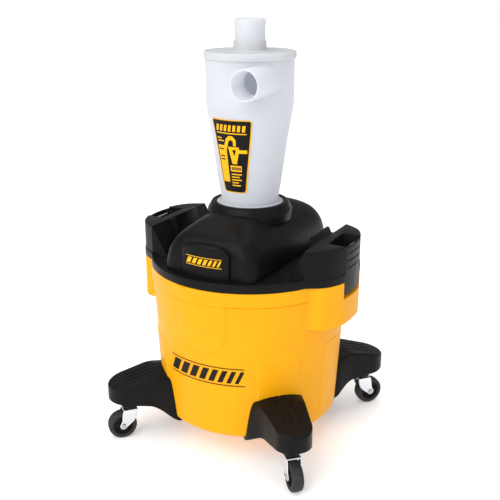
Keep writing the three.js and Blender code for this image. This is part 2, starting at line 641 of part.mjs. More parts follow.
const makeHub = () => acrossFork([
  [AXLE_R + GAP, -HUB_BOSS_HALF], [HUB_BOSS_R, -HUB_BOSS_HALF], [HUB_BOSS_R, -5], [TREAD_R - GAP, -7],
  [TREAD_R - GAP, 7], [HUB_BOSS_R, 5], [HUB_BOSS_R, HUB_BOSS_HALF], [AXLE_R + GAP, HUB_BOSS_HALF],
], SIDES_WHEEL);

const makeTyre = () => {
  const half = WHEEL_WIDTH / 2;
  const flat = half - TREAD_CHAMFER;
  return acrossFork([
    [TREAD_R, -half], [TREAD_EDGE_R, -half], [WHEEL_R, -flat], [WHEEL_R, flat], [TREAD_EDGE_R, half],
    [TREAD_R, half],
  ], SIDES_WHEEL);
};

// ---- assembly -----------------------------------------------------------------------

const group = new THREE.Group();

function add(name, geometry, material, parent = group) {
  const mesh = new THREE.Mesh(geometry, material);
  mesh.name = name;
  parent.add(mesh);
  return mesh;
}

add('tank', makeTank(), yellow);
add('tank_decal', makeTankDecal(), labelBlack);
add('lid_shell', makeLidShell(), black);
const sealFoot = TANK_TOP + GAP;
add('lid_gasket', ring(PLUG_R + GAP, GROOVE_R - GAP, sealFoot, sealFoot + GASKET_HIGH, SIDES_LARGE), seal);
add('lid_badge', makeLidBadge(), labelYellow);

for (const [name, turn] of [['right', 0], ['left', Math.PI]]) {
  const holder = new THREE.Group();
  holder.rotation.z = turn;
  group.add(holder);
  add(`latch_${name}`, makeLatch(), black, holder);
  add(`latch_pin_${name}`, rod(PIN_R, -PIN_HALF, PIN_HALF, PIVOT_X, PIVOT_Z), steel, holder);
}

const gasketTop = FLANGE_TOP - FLANGE_THICK - GAP;
const clampTop = LEDGE_TOP - LEDGE_THICK - GAP;
const clampFoot = clampTop - CLAMP_THICK;
const gasket = ring(GASKET_BORE_R, GASKET_R, LEDGE_TOP + GAP, gasketTop);
const clampRing = ring(CLAMP_BORE_R, CLAMP_R, clampFoot, clampTop);
const makeHole = () => disc(SCREW_HOLE_R, clampFoot - OVERSHOOT, gasketTop + OVERSHOOT, SIDES_TINY);
add('cyclone_body', makeCycloneBody(), milky);
add('cyclone_cap', makeCap(), cream);
add('outlet_tube', ring(OUTLET_BORE_R, OUTLET_R, OUTLET_BOTTOM, OUTLET_TOP, SIDES_WHEEL), milky);
add('cone_label', makeConeLabel(), labelBlack);
add('flange_gasket', cut(gasket, ...clampCircle(makeHole)), seal);
add('flange_clamp_ring', cut(clampRing, ...clampCircle(makeHole)), zinc);
clampCircle(() => screw(clampFoot, FLANGE_TOP - 1.1)).forEach((geometry, i) => {
  add(`clamp_screw_${i + 1}`, geometry, zinc);
});

for (const [name, { side, trailDeg }] of Object.entries(CASTERS)) {
  const arm = new THREE.Group();
  arm.rotation.z = armAngle(side);
  group.add(arm);
  add(`arm_${name}`, makeArm(), black, arm);
  ['inner', 'outer'].forEach((which, i) => {
    const mesh = add(`arm_screw_${name}_${which}`, screw(FOOT_BOTTOM, TANK_FLOOR + 11), zinc, arm);
    mesh.position.set(ARM_SCREW_R, i === 0 ? -ARM_SCREW_HALF : ARM_SCREW_HALF, 0);
  });

  const caster = new THREE.Group();
  const [x, y] = armPoint(side, SWIVEL_R, 0);
  caster.position.set(x, y, 0);
  caster.rotation.z = rad(trailDeg);
  group.add(caster);
  add(`caster_stem_${name}`, makeStem(), steel, caster);
  add(`caster_fork_${name}`, makeFork(), zinc, caster);
  add(`caster_axle_${name}`, makeAxle(), steel, caster);
  add(`wheel_hub_${name}`, makeHub(), black, caster);
  add(`wheel_tyre_${name}`, makeTyre(), rubber, caster);
}

export default group;
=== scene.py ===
import json
import math

import bmesh
import bpy
import numpy as np
from mathutils import Matrix, Vector


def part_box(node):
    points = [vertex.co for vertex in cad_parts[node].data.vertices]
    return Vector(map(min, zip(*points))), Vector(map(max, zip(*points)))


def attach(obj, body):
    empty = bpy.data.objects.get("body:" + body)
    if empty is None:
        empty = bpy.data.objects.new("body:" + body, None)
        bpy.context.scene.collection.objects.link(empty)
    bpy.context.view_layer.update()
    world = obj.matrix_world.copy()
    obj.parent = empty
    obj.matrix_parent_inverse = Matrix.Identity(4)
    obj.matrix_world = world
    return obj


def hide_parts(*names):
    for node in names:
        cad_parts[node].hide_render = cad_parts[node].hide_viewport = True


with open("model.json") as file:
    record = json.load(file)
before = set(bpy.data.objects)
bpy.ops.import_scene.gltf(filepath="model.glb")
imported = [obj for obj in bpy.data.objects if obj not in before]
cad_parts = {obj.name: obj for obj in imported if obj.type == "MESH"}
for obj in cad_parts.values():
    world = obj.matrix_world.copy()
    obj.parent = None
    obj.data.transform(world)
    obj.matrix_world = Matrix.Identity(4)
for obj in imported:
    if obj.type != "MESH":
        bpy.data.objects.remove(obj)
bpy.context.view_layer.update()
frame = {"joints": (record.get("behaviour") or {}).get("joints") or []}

# All shapes below are worked out in millimetres, in the frame's axes, and scaled here.
MM = 0.001
FRONT = -math.pi / 2
SHARP = 0.01  # the edge radius of a cutting tool
# Stands a plan drawn in X and Y up in X and Z.
UPRIGHT = Matrix(((1, 0, 0, 0), (0, 0, -1, 0), (0, 1, 0, 0), (0, 0, 0, 1)))


# ---- sizes from the frame --------------------------------

def box_mm(node):
    low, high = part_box(node)
    return low / MM, high / MM


CASTERS = ("front_left", "front_right", "back_right", "back_left")
JOINTS = {joint["name"]: joint for joint in frame["joints"]}

TANK_LOW, TANK_HIGH = box_mm("tank")
TANK_FLOOR, TANK_TOP, BLOCK_X = TANK_LOW.z, TANK_HIGH.z, TANK_HIGH.x
RIM_R = TANK_HIGH.y
TANK_FOOT_R = 162.0
TANK_DRAFT = 0.0575
TANK_WALL, TANK_BASE = 3.2, 3.6
BLOCK_Z = 251.0
RECESS_X, RECESS_Y, RECESS_Z = 194.0, 34.4, 299.0
BLOCK_ROOT, BLOCK_CORNER = math.radians(29.2), math.radians(24.2)

LID_LOW, LID_HIGH = box_mm("lid_shell")
PLUG_BOTTOM, COLLAR_TOP = LID_LOW.z, LID_HIGH.z
LID_BOTTOM = TANK_TOP + 0.3
DECK = 343.4
SKIN = 3.0
PLUG_R = 173.8
GROOVE_R, GROOVE_TOP = 176.5, 333.3
# Rings of the dome: rise above the deck, half width, half length and squareness.
DOME_RINGS = [(0, 90, 151, 13), (12, 89.3, 150.6, 12.5), (36, 84.5, 149, 10.5), (57, 74, 143, 7.5),
              (69, 62, 130, 5.8), (79, 50, 107, 4.6), (86, 36, 78, 3.5), (89, 25, 53, 2.8), (90, 11, 22, 2)]
PANEL_X, PANEL_Y, PANEL_CROWN, PANEL_TOP, PANEL_ARCH = 45.0, 156.0, 7.0, 398.5, 11.5
COLLAR_R = 75.5
LEDGE_TOP, LEDGE_THICK, THROAT_R = 432.7, 3.2, 46.0
TOWER_TOP, TOWER_INNER_X, TOWER_FOOT_X, TOWER_TIP_Y = 392.7, 151.7, 122.0, 92.0
POCKET_X, POCKET_FLOOR = 166.7, 348.0
FIN_X, FIN_TOP, FIN_Y = 135.0, 401.0, 36.0

CYCLONE_LOW, CYCLONE_HIGH = box_mm("cyclone_body")
FLANGE_BOTTOM, CYCLONE_TOP, INLET_Y = CYCLONE_LOW.z, CYCLONE_HIGH.z, CYCLONE_LOW.y
CYCLONE_R = CYCLONE_HIGH.y
FLANGE_TOP, FLANGE_R = FLANGE_BOTTOM + 3.3, 59.0
CYCLONE_WALL = 2.5
CAP_TOP = 699.7
INLET_X, INLET_Z, INLET_R, INLET_BORE_R = 50.0, 655.5, 25.6, 23.2
CONE = [(49.8, FLANGE_TOP), (57.2, 488), (66.4, 556), (72.3, 590), (75.1, 606), (CYCLONE_R, 618)]

SWIVEL_R = 232.5
WHEEL_R = box_mm("wheel_tyre_front_left")[1].z / 2
STEM_LOW, STEM_HIGH = box_mm("caster_stem_front_left")


# ---- mesh helpers ----------------------------------------

def unit(vector):
    return vector / (np.linalg.norm(vector) or 1.0)


def ease(value):
    t = np.clip(value, 0, 1)
    return t * t * (3 - 2 * t)


def shade(obj, sharp_deg=32):
    obj.data.shade_smooth()
    obj.data.set_sharp_from_angle(angle=math.radians(sharp_deg))
    return obj


def placed(name, data):
    obj = bpy.data.objects.new(name, data)
    bpy.context.scene.collection.objects.link(obj)
    return obj


def add_mesh(name, verts, faces, sharp_deg=32):
    mesh = bpy.data.meshes.new(name)
    mesh.from_pydata((np.asarray(verts, float) * MM).tolist(), [], faces)
    work = bmesh.new()
    work.from_mesh(mesh)
    bmesh.ops.remove_doubles(work, verts=work.verts, dist=2e-6)
    bmesh.ops.dissolve_degenerate(work, edges=work.edges, dist=1e-6)
    bmesh.ops.recalc_face_normals(work, faces=work.faces)
    work.to_mesh(mesh)
    work.free()
    return shade(placed(name, mesh), sharp_deg)


def loft(name, rings, closed=False, sharp_deg=32):
    """Joins rings of equal length. An open stack gets a face over each end."""
    rings = np.asarray(rings, float)
    count, around = rings.shape[:2]
    faces = []
    for i in range(count if closed else count - 1):
        a, b = i * around, (i + 1) % count * around
        for j in range(around):
            k = (j + 1) % around
            faces.append((a + j, a + k, b + k, b + j))
    if not closed:
        faces.append(tuple(range(around))[::-1])
        faces.append(tuple(range((count - 1) * around, count * around)))
    return add_mesh(name, rings.reshape(-1, 3), faces, sharp_deg)


def turned(name, profile, segments=96, closed=False, sharp_deg=32):
    angles = np.linspace(0, 2 * math.pi, segments, endpoint=False)
    spokes = np.stack([np.cos(angles), np.sin(angles)], axis=1)
    rings = [np.column_stack([spokes * r, np.full(segments, z)]) for r, z in profile]
    return loft(name, rings, closed, sharp_deg)


def cylinder(name, radius, low, high, segments=96):
    return turned(name, [(0, low), (radius, low), (radius, high), (0, high)], segments)


def quarter(steps):
    return [math.pi / 2 * k / steps for k in range(steps + 1)]


def rounded(corners, closed=True, steps=4):
    """A polyline whose corners, given as (x, y, radius), become arcs."""
    points = []
    last = len(corners) - 1
    for i, (x, y, *rest) in enumerate(corners):
        radius = rest[0] if rest else 0
        if not radius or (not closed and i in (0, last)):
            points.append((x, y))
            continue
        corner = np.array((x, y), float)
        back = unit(np.array(corners[i - 1][:2], float) - corner)
        ahead = unit(np.array(corners[(i + 1) % len(corners)][:2], float) - corner)
        half = math.acos(np.clip(back @ ahead, -1, 1)) / 2
        centre = corner + unit(back + ahead) * radius / math.sin(half)
        start = corner + back * radius / math.tan(half) - centre
        end = corner + ahead * radius / math.tan(half) - centre
        first = math.atan2(start[1], start[0])
        sweep = (math.atan2(end[1], end[0]) - first + math.pi) % (2 * math.pi) - math.pi
        for k in range(steps + 1):
            angle = first + sweep * k / steps
            points.append(tuple(centre + radius * np.array((math.cos(angle), math.sin(angle)))))
    return points


def spun(name, corners, segments, closed=False, steps=4):
    """A turned piece whose profile has round corners."""
    return turned(name, rounded(corners, closed, steps), segments, closed)


def flipped(points):
    """The mirror image past the first axis, from the last point to the first."""
    return [(a, -b, *rest) for a, b, *rest in points[::-1]]


def spline(points, steps=8):
    """A smooth line through the points."""
    points = [np.array(p, float) for p in points]
    line = []
    for i in range(len(points) - 1):
        p1, p2 = points[i], points[i + 1]
        p0, p3 = points[max(i - 1, 0)], points[min(i + 2, len(points) - 1)]
        for k in range(steps):
            t = k / steps
            line.append(0.5 * (2 * p1 + (p2 - p0) * t + (2 * p0 - 5 * p1 + 4 * p2 - p3) * t ** 2
                               + (3 * p1 - p0 - 3 * p2 + p3) * t ** 3))
    line.append(points[-1])
    return [tuple(p) for p in line]


def inset(outline, distance):
    """The outline, which runs counterclockwise, moved inwards."""
    points = np.asarray(outline, float)
    behind = points - np.roll(points, 1, axis=0)
    ahead = np.roll(points, -1, axis=0) - points
    normals = []
    for a, b in zip(behind, ahead):
        na, nb = unit(np.array((-a[1], a[0]))), unit(np.array((-b[1], b[0])))
        middle = unit(na + nb)
        normals.append(middle / max(middle @ na, 0.5))
    return points + np.array(normals) * distance


def extruded(name, outline, bottom, top, edge=1.0, foot_edge=None, steps=3, warp=None, levels=1, spine=0):
    """A plan raised between two levels, or two functions of x and y, with round edges.

    With a spine, each end closes in that many steps towards the X axis, for a warp to crown.
    """
    foot_edge = edge if foot_edge is None else foot_edge
    level = [f if callable(f) else (lambda x, y, f=f: np.full(len(x), float(f)))
             for f in (bottom, top)]
    rings = []

    def add(inward, base, lift):
        plan = inset(outline, inward)
        rings.append(np.column_stack([plan, base(plan[:, 0], plan[:, 1]) + lift]))

    for angle in quarter(steps):
        add(foot_edge * (1 - math.sin(angle)), level[0], foot_edge * (1 - math.cos(angle)))
    plan = np.asarray(outline, float)
    low = level[0](plan[:, 0], plan[:, 1]) + foot_edge
    high = level[1](plan[:, 0], plan[:, 1]) - edge
    for k in range(1, levels):
        rings.append(np.column_stack([plan, low + (high - low) * k / levels]))
    for angle in quarter(steps):
        add(edge * (1 - math.cos(angle)), level[1], -edge * (1 - math.sin(angle)))
    if spine:
        shares = [max(1 - k / spine, 0.03) for k in range(1, spine + 1)]
        foot = [rings[0] * (1, share, 1) for share in shares[::-1]]
        rings = foot + rings + [rings[-1] * (1, share, 1) for share in shares]
    if warp:
        rings = [warp(ring) for ring in rings]
    return loft(name, rings)


def block(name, low, high, edge=0.6):
    outline = [(low[0], low[1]), (high[0], low[1]), (high[0], high[1]), (low[0], high[1])]
    return extruded(name, outline, low[2], high[2], edge, steps=2)


def moved(obj, matrix):
    obj.data.transform(matrix)
    return obj


def shift(x=0.0, y=0.0, z=0.0):
    return Matrix.Translation(Vector((x, y, z)) * MM)


def turn(degrees, axis):
    return Matrix.Rotation(math.radians(degrees), 4, axis)


def bake(obj, sharp_deg=32):
    """Applies the object's modifiers to its mesh."""
    graph = bpy.context.evaluated_depsgraph_get()
    mesh = bpy.data.meshes.new_from_object(obj.evaluated_get(graph))
    obj.modifiers.clear()
    old = obj.data
    obj.data = mesh
    bpy.data.meshes.remove(old)
    return shade(obj, sharp_deg)


def combine(obj, tools, operation, sharp_deg=32):
    for tool in tools:
        modifier = obj.modifiers.new(operation, "BOOLEAN")
        modifier.operation = operation
        modifier.solver = "MANIFOLD"
        modifier.object = tool
    bake(obj, sharp_deg)
    for tool in tools:
        bpy.data.objects.remove(tool)
    return obj


def carve(obj, *tools, sharp_deg=32):
    return combine(obj, tools, "DIFFERENCE", sharp_deg)


def fuse(obj, *others, sharp_deg=32):
    return combine(obj, others, "UNION", sharp_deg)


def soften(obj, width, segments=2, angle_deg=38):
    modifier = obj.modifiers.new("soften", "BEVEL")
    modifier.width = width * MM
    modifier.segments = segments
    modifier.limit_method = "ANGLE"
    modifier.angle_limit = math.radians(angle_deg)
    modifier.harden_normals = False
    return bake(obj)


def copied(obj, name, matrix):
    return moved(placed(name, obj.data.copy()), matrix)


# ---- materials -------------------------------------------

class Nodes:
    """A short way to write a node tree: each call adds a node and links its named inputs."""

    def __init__(self, name):
        self.material = bpy.data.materials.new(name)
        self.material.use_nodes = True
        self.tree = self.material.node_tree
        self.tree.nodes.clear()
        self.output = self.tree.nodes.new("ShaderNodeOutputMaterial")
        self.place = self("TexCoord").outputs["Object"]

    def __call__(self, kind, settings=None, **inputs):
        node = self.tree.nodes.new("ShaderNode" + kind)
        for key, value in (settings or {}).items():
            setattr(node, key, value)
        for key, value in inputs.items():
            self.feed(node.inputs[key.replace("_", " ")], value)
        return node

    def feed(self, socket, value):
        if isinstance(value, bpy.types.NodeSocket):
            self.tree.links.new(value, socket)
        else:
            socket.default_value = value

    def noise(self, size_mm, detail=3.0, roughness=0.55, place=None):
        node = self("TexNoise", Vector=place or self.place, Scale=1 / (size_mm * MM), Detail=detail,
                    Roughness=roughness)
        return node.outputs["Fac"]

    def spread(self, value, low, high, start=0.3, stop=0.7):
        node = self("MapRange", Value=value, From_Min=start, From_Max=stop, To_Min=low, To_Max=high)
        return node.outputs["Result"]

    def blend(self, share, first, second):
        node = self("Mix", {"data_type": "RGBA"})
        self.feed(node.inputs[0], share)
        self.feed(node.inputs[6], first)
        self.feed(node.inputs[7], second)
        return node.outputs[2]

    def bump(self, height, strength, depth_mm, normal=None):
        node = self("Bump", Height=height, Strength=strength, Distance=depth_mm * MM)
        if normal:
            self.feed(node.inputs["Normal"], normal)
        return node.outputs["Normal"]

    def surface(self, shader):
        self.tree.links.new(shader, self.output.inputs["Surface"])
        return self.material

    def principled(self, **inputs):
        return self.surface(self("BsdfPrincipled", **inputs).outputs["BSDF"])


def rgba(color, factor=1.0):
    return (*[min(1.0, c * factor) for c in color], 1.0)


def moulded(name, color, roughness, grain_mm=0.7, grain=0.35, swirl_mm=60, tint=0.06, specular=0.5):
    """Moulded plastic: a fine eroded grain, faint flow marks, and raised edges painted lighter, partly as
    wear and partly as a painted highlight.
    """
    n = Nodes(name)
    flow = n.noise(swirl_mm, 2.0)
    # Raised edges are painted lighter: a little wear, and a painted highlight where the edges catch light.
    rubbed_and_lit_edges = n.spread(n("NewGeometry").outputs["Pointiness"], 0.0, 0.5, 0.53, 0.62)
    body = n.blend(flow, rgba(color, 1 - tint), rgba(color, 1 + tint))
    paint = n.blend(rubbed_and_lit_edges, body, rgba([c * 1.15 + 0.004 for c in color]))
    smooth = n.spread(n.noise(25, 3.0), roughness - 0.04, roughness + 0.05)
    fine = n.bump(n.noise(grain_mm, 2.0, 0.6), grain, 0.12)
    wavy = n.bump(n.noise(45, 1.0), 0.12, 0.5, fine)
    return n.principled(Base_Color=paint, Roughness=smooth, Normal=wavy, Specular_IOR_Level=specular)


def milky(name, color, roughness=0.3, seen=0.16):
    """Natural plastic: most light scatters at the surface, some passes through the wall."""
    n = Nodes(name)
    cloud = n.noise(50, 2.0)
    paint = n.blend(cloud, rgba(color, 0.97), rgba(color, 1.02))
    ripple = n.bump(n.noise(30, 2.0), 0.15, 0.4, n.bump(n.noise(0.9, 2.0), 0.2, 0.05))
    rough = n.spread(n.noise(20), roughness, roughness + 0.08)
    skin = n("BsdfPrincipled", Base_Color=paint, Roughness=rough, Normal=ripple, Specular_IOR_Level=0.5)
    through = n("BsdfTranslucent", Color=paint, Normal=ripple)
    clear = n("BsdfTransparent", Color=rgba(color, 0.98))
    soft = n("MixShader", Fac=0.45)
    n.feed(soft.inputs[1], skin.outputs[0])
    n.feed(soft.inputs[2], through.outputs[0])
    edge = n("LayerWeight", Blend=0.35).outputs["Facing"]
    share = n.spread(edge, seen, 0.0, 0.0, 0.9)
    final = n("MixShader", Fac=share)
    n.feed(final.inputs[1], soft.outputs[0])
    n.feed(final.inputs[2], clear.outputs[0])
    return n.surface(final.outputs[0])


def zinc(name, color=(0.74, 0.77, 0.81), roughness=0.27):
    """Bright zinc plate on pressed steel: fine spangle, faint draw lines and dull patches."""
    n = Nodes(name)
    spangle = n("TexVoronoi", Vector=n.place, Scale=1 / (1.6 * MM)).outputs["Distance"]
    patch = n.noise(7, 4.0)
    paint = n.blend(patch, rgba(color, 0.86), rgba(color, 1.08))
    gloss = n.spread(patch, roughness - 0.06, roughness + 0.16)
    stretch = n("Mapping", Vector=n.place, Scale=(1, 1, 0.06)).outputs["Vector"]
    lines = n.bump(n.noise(0.35, 2.0, place=stretch), 0.12, 0.05, n.bump(spangle, 0.06, 0.05))
    return n.principled(Base_Color=paint, Roughness=gloss, Metallic=1.0, Normal=lines)


def rubber(name, color, roughness=0.72, scuff=0.10):
    """Hard rubber with a matte skin, fine pores and pale scuffs."""
    n = Nodes(name)
    scuffs = n.spread(n.noise(5, 5.0, 0.7), 0.0, 1.0, 0.52, 0.75)
    paint = n.blend(scuffs, rgba(color), rgba([c + scuff for c in color]))
    pores = n.bump(n.noise(0.5, 3.0, 0.7), 0.4, 0.15, n.bump(n.noise(6, 3.0), 0.15, 0.3))
    rough = n.spread(scuffs, roughness, roughness + 0.1, 0, 1)
    return n.principled(Base_Color=paint, Roughness=rough, Normal=pores, Specular_IOR_Level=0.35)


def printed(name, color, roughness=0.38, specular=0.12):
    """Ink on film: nearly even, with a faint halftone mottle and the film's orange peel."""
    n = Nodes(name)
    paint = n.blend(n.noise(1.2, 2.0), rgba(color, 0.93), rgba(color, 1.05))
    peel = n.bump(n.noise(2.5, 2.0), 0.15, 0.1)
    rough = n.spread(n.noise(9), roughness, roughness + 0.1)
    return n.principled(Base_Color=paint, Roughness=rough, Normal=peel, Specular_IOR_Level=specular)


YELLOW = moulded("yellow_plastic", (0.84, 0.372, 0.003), 0.40, grain=0.25, specular=0.14)
BLACK = moulded("black_plastic", (0.0060, 0.0058, 0.0059), 0.38, grain=0.5, tint=0.12, specular=0.10)
HUB = moulded("hub_plastic", (0.009, 0.009, 0.0095), 0.42, tint=0.12, specular=0.15)
MILKY = milky("milky_plastic", (0.89, 0.905, 0.94))
WHITE = milky("white_plastic", (0.84, 0.85, 0.865), 0.34, seen=0.03)
TUBE = milky("tube_plastic", (0.88, 0.895, 0.92), 0.3, seen=0.08)
ZINC = zinc("zinc_plate")
STEEL = zinc("plain_steel", (0.52, 0.53, 0.55), 0.34)
TYRE = rubber("tyre_rubber", (0.022, 0.022, 0.0235), scuff=0.03)
SEAL = rubber("seal_rubber", (0.02, 0.02, 0.02), 0.85, 0.03)
INK_BLACK = printed("ink_black", (0.007, 0.0065, 0.006))
INK_YELLOW = printed("ink_yellow", (0.93, 0.47, 0.008))
INK_BROWN = printed("ink_brown", (0.014, 0.009, 0.007))


def finished(obj, material, body, slot, *nodes):
    """Gives a piece its material, ties it to its body and hides the CAD nodes it stands for. The slot
    argument is not used.
    """
    obj.data.materials.clear()
    obj.data.materials.append(material)
    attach(obj, body)
    if nodes:
        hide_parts(*nodes)


# ---- tank ------------------------------------------------

def wall_radius(z):
    return TANK_FOOT_R + (z - TANK_FLOOR) * TANK_DRAFT


def block_plan(shrink=0.0):
    """The curved side of a latch block, from its back tip to its front tip, on the +X side."""
    knots = [(153 - shrink, -TOWER_TIP_Y + shrink * 1.5), (182 - shrink * 0.8, -71 + shrink * 0.8),
             (199.5 - shrink, -36 + shrink * 0.3), (BLOCK_X - shrink, 0)]
    return spline(knots + flipped(knots[:-1]), 10)


def block_radius(angles):
    plan = np.array(block_plan())
    return np.interp(angles, np.arctan2(plan[:, 1], plan[:, 0]), np.hypot(plan[:, 0], plan[:, 1]))


def off_axis(angles):
    """Each angle measured from the nearer side block's middle."""
    return np.minimum(np.abs(angles), math.pi - np.abs(angles))


def pads(angles, z):
    """Height of the shallow raised fields moulded on the tank's wall."""
    radius = wall_radius(z)
    height = np.zeros(len(angles))
    for middle in (FRONT, -FRONT):
        across = (angles - middle) * radius
        low = np.minimum(z - 256.0, 0)
        height = np.maximum(height, 2.6 * ease((50 - np.hypot(across, low)) / 6))
    for joint in ("swivel_" + name for name in CASTERS):
        x, y = JOINTS[joint]["pos_m"][:2]
        across = np.abs(angles - math.atan2(y, x)) * radius
        height = np.maximum(height, 2.0 * ease(np.minimum(40 - across, 208 - z) / 4))
    side = off_axis(angles) * radius
    height = np.maximum(height, 1.4 * ease(np.minimum(38 - side, 212 - z) / 4))
    return height * ease((z - 60) / 12)


def tank():
    """One loft up the outside, over the rim and down the inside, by rows of radius and height."""
    # The angles are even, apart from close ones along the edges of each recess.
    edge_y = math.atan2(RECESS_Y, RECESS_X)
    marks = [edge_y - math.radians(d) for d in (0.0, 0.16, 0.32)]
    special = sorted(sign * m + base for m in marks for sign in (1, -1) for base in (0, math.pi))
    special = np.array([(a + math.pi) % (2 * math.pi) - math.pi for a in special])
    regular = np.linspace(-math.pi, math.pi, 600, endpoint=False)
    clear = np.min(np.abs(regular[:, None] - special[None, :]), axis=1) > math.radians(0.25)
    angles = np.sort(np.concatenate([regular[clear], special]))

    away = off_axis(angles)
    outline = block_radius(away)
    fade = 1 - np.clip((BLOCK_ROOT - away) / (BLOCK_ROOT - BLOCK_CORNER), 0, 1) ** 1.5
    recess = away < edge_y - math.radians(0.2)
    recess_r = RECESS_X / np.cos(away)
    ends = away > BLOCK_ROOT

    def bare_side(z):
        return wall_radius(z) + pads(angles, z)

    def side(z, proud=0.0):
        """Outside radius with the block, whose ends run out smoothly into the wall."""
        bare = bare_side(z)
        full = np.where(ends, bare, np.maximum(bare, outline - proud))
        return bare + (full - bare) * (1 - fade)

    rows = [(r, TANK_FLOOR) for r in (0, 40, 90, 130, 150)]
    corner = 9.0
    for angle in quarter(6)[1:]:
        radius = wall_radius(TANK_FLOOR + corner) - corner * (1 - math.sin(angle))
        rows.append((radius, TANK_FLOOR + corner * (1 - math.cos(angle))))
    levels = [*np.arange(66, 202, 5.0), *np.arange(202, 250, 1.3), BLOCK_Z]
    rows += [(bare_side(z), z) for z in levels]
    round_by = 3.0
    for angle in quarter(5):
        z = BLOCK_Z + 0.02 + round_by * (1 - math.cos(angle))
        rows.append((np.maximum(side(z, round_by * (1 - math.sin(angle))), bare_side(z)), z))
    rows += [(side(z), z) for z in (*np.arange(256, 262, 1.5), *np.arange(264, 298, 4.0))]

    def with_recess(radius):
        return np.where(recess, np.minimum(radius, recess_r), radius)

    rows += [(side(z) - np.where(recess, drop, 0), z) for z, drop in
             ((RECESS_Z - 1.0, 0.0), (RECESS_Z - 0.4, 0.25), (RECESS_Z - 0.05, 0.9))]
    rows.append((with_recess(side(RECESS_Z)), RECESS_Z))
    rows += [(with_recess(side(z) - dip * fade), z) for z, dip in
             ((301, 0.0), (302.2, 0.0), (302.6, 0.6), (303.1, 0.6))]
    for z, share in ((303.2, 0.0), (303.4, 0.3), (303.7, 0.65), (304.2, 0.9), (305.0, 1.0)):
        band = wall_radius(z) + (RIM_R - wall_radius(z)) * share
        rows.append((with_recess(np.maximum(side(z), band)), z))

    def rim(z):
        return with_recess(np.maximum(side(z), RIM_R))

    rows += [(rim(z), z) for z in (308, 314, 320, 325)]
    rows += [(rim(TANK_TOP) - drop, TANK_TOP - below) for drop, below in
             ((0.0, 1.4), (0.2, 0.7), (0.7, 0.2), (1.4, 0.0))]
    mouth = wall_radius(TANK_TOP) - TANK_WALL
    room = ease((math.radians(26) - away) / math.radians(1.5)) * 66
    outer_lip = np.maximum(rim(TANK_TOP) - 3.4, mouth + 2.6)
    inner_lip = np.minimum(mouth + 5.6, outer_lip - 0.3)
    rows += [(outer_lip, TANK_TOP), (outer_lip - 0.1, TANK_TOP - room), (inner_lip + 0.1, TANK_TOP - room),
             (inner_lip, TANK_TOP)]
    rows += [(mouth + out, TANK_TOP - down) for out, down in ((1.0, 0), (0.3, 0.3), (0, 1.0))]
    rows += [(wall_radius(z) - TANK_WALL, z) for z in (320, 290, 250, 210, 170, 130, 90, 70)]
    base = TANK_FLOOR + TANK_BASE
    bend = 8
    for angle in quarter(4):
        radius = wall_radius(base + bend) - TANK_WALL - bend * (1 - math.cos(angle))
        rows.append((radius, base + bend * (1 - math.sin(angle))))
    rows += [(r, base) for r in (130, 90, 40, 0)]

    spokes = np.stack([np.cos(angles), np.sin(angles)], axis=1)
    rings = []
    for row in rows:
        radius, z = (np.broadcast_to(value, len(angles)) for value in row)
        rings.append(np.column_stack([spokes * radius[:, None], z]))
    return loft("tank_shell", rings, sharp_deg=28)


finished(tank(), YELLOW, "base", "tank_plastic", "tank")


# ---- lid -------------------------------------------------

def dome(name, shrink, bottom):
    """Rounded rectangles that soften as they rise."""
    angles = np.linspace(0, 2 * math.pi, 180, endpoint=False)
    c, s = np.cos(angles), np.sin(angles)
    foot = (bottom - DECK, *DOME_RINGS[0][1:])
    rings = []
    for rise, half_x, half_y, power in [foot] + spline(DOME_RINGS, 5):
        out = (np.abs(c) ** power + np.abs(s) ** power) ** (-1 / power)
        z = DECK + rise - shrink * max(rise, 0) / DOME_RINGS[-1][0]
        rings.append(np.column_stack([(half_x - shrink) * c * out, (half_y - shrink) * s * out,
                                      np.full(len(angles), z)]))
    return loft(name, rings, sharp_deg=50)


def panel_face(x, proud=0.0):
    along = (x + PANEL_X) / (2 * PANEL_X)
    return -PANEL_Y - 4 * PANEL_CROWN * along * (1 - along) - proud


def panel(name, shrink, bottom, edge):
    """The proud field that carries the badge: a bowed front under an arched top."""
    half = PANEL_X - shrink
    ends = [(half - edge * (1 - math.cos(a)), edge * (1 - math.sin(a))) for a in quarter(5)]
    stations = [(-x, less) for x, less in ends]
    stations += [(x, 0) for x in np.linspace(-half + edge, half - edge, 26)[1:-1]]
    stations += ends[::-1]
    rings = []
    for x, less in stations:
        face = panel_face(x) + shrink + less
        top = PANEL_TOP - PANEL_ARCH * (x / PANEL_X) ** 4 - shrink - less
        profile = rounded([(-90, bottom), (face, bottom), (face, top, edge), (-90, top)], steps=5)
        rings.append([(x, y, z) for y, z in profile])
    return loft(name, rings)


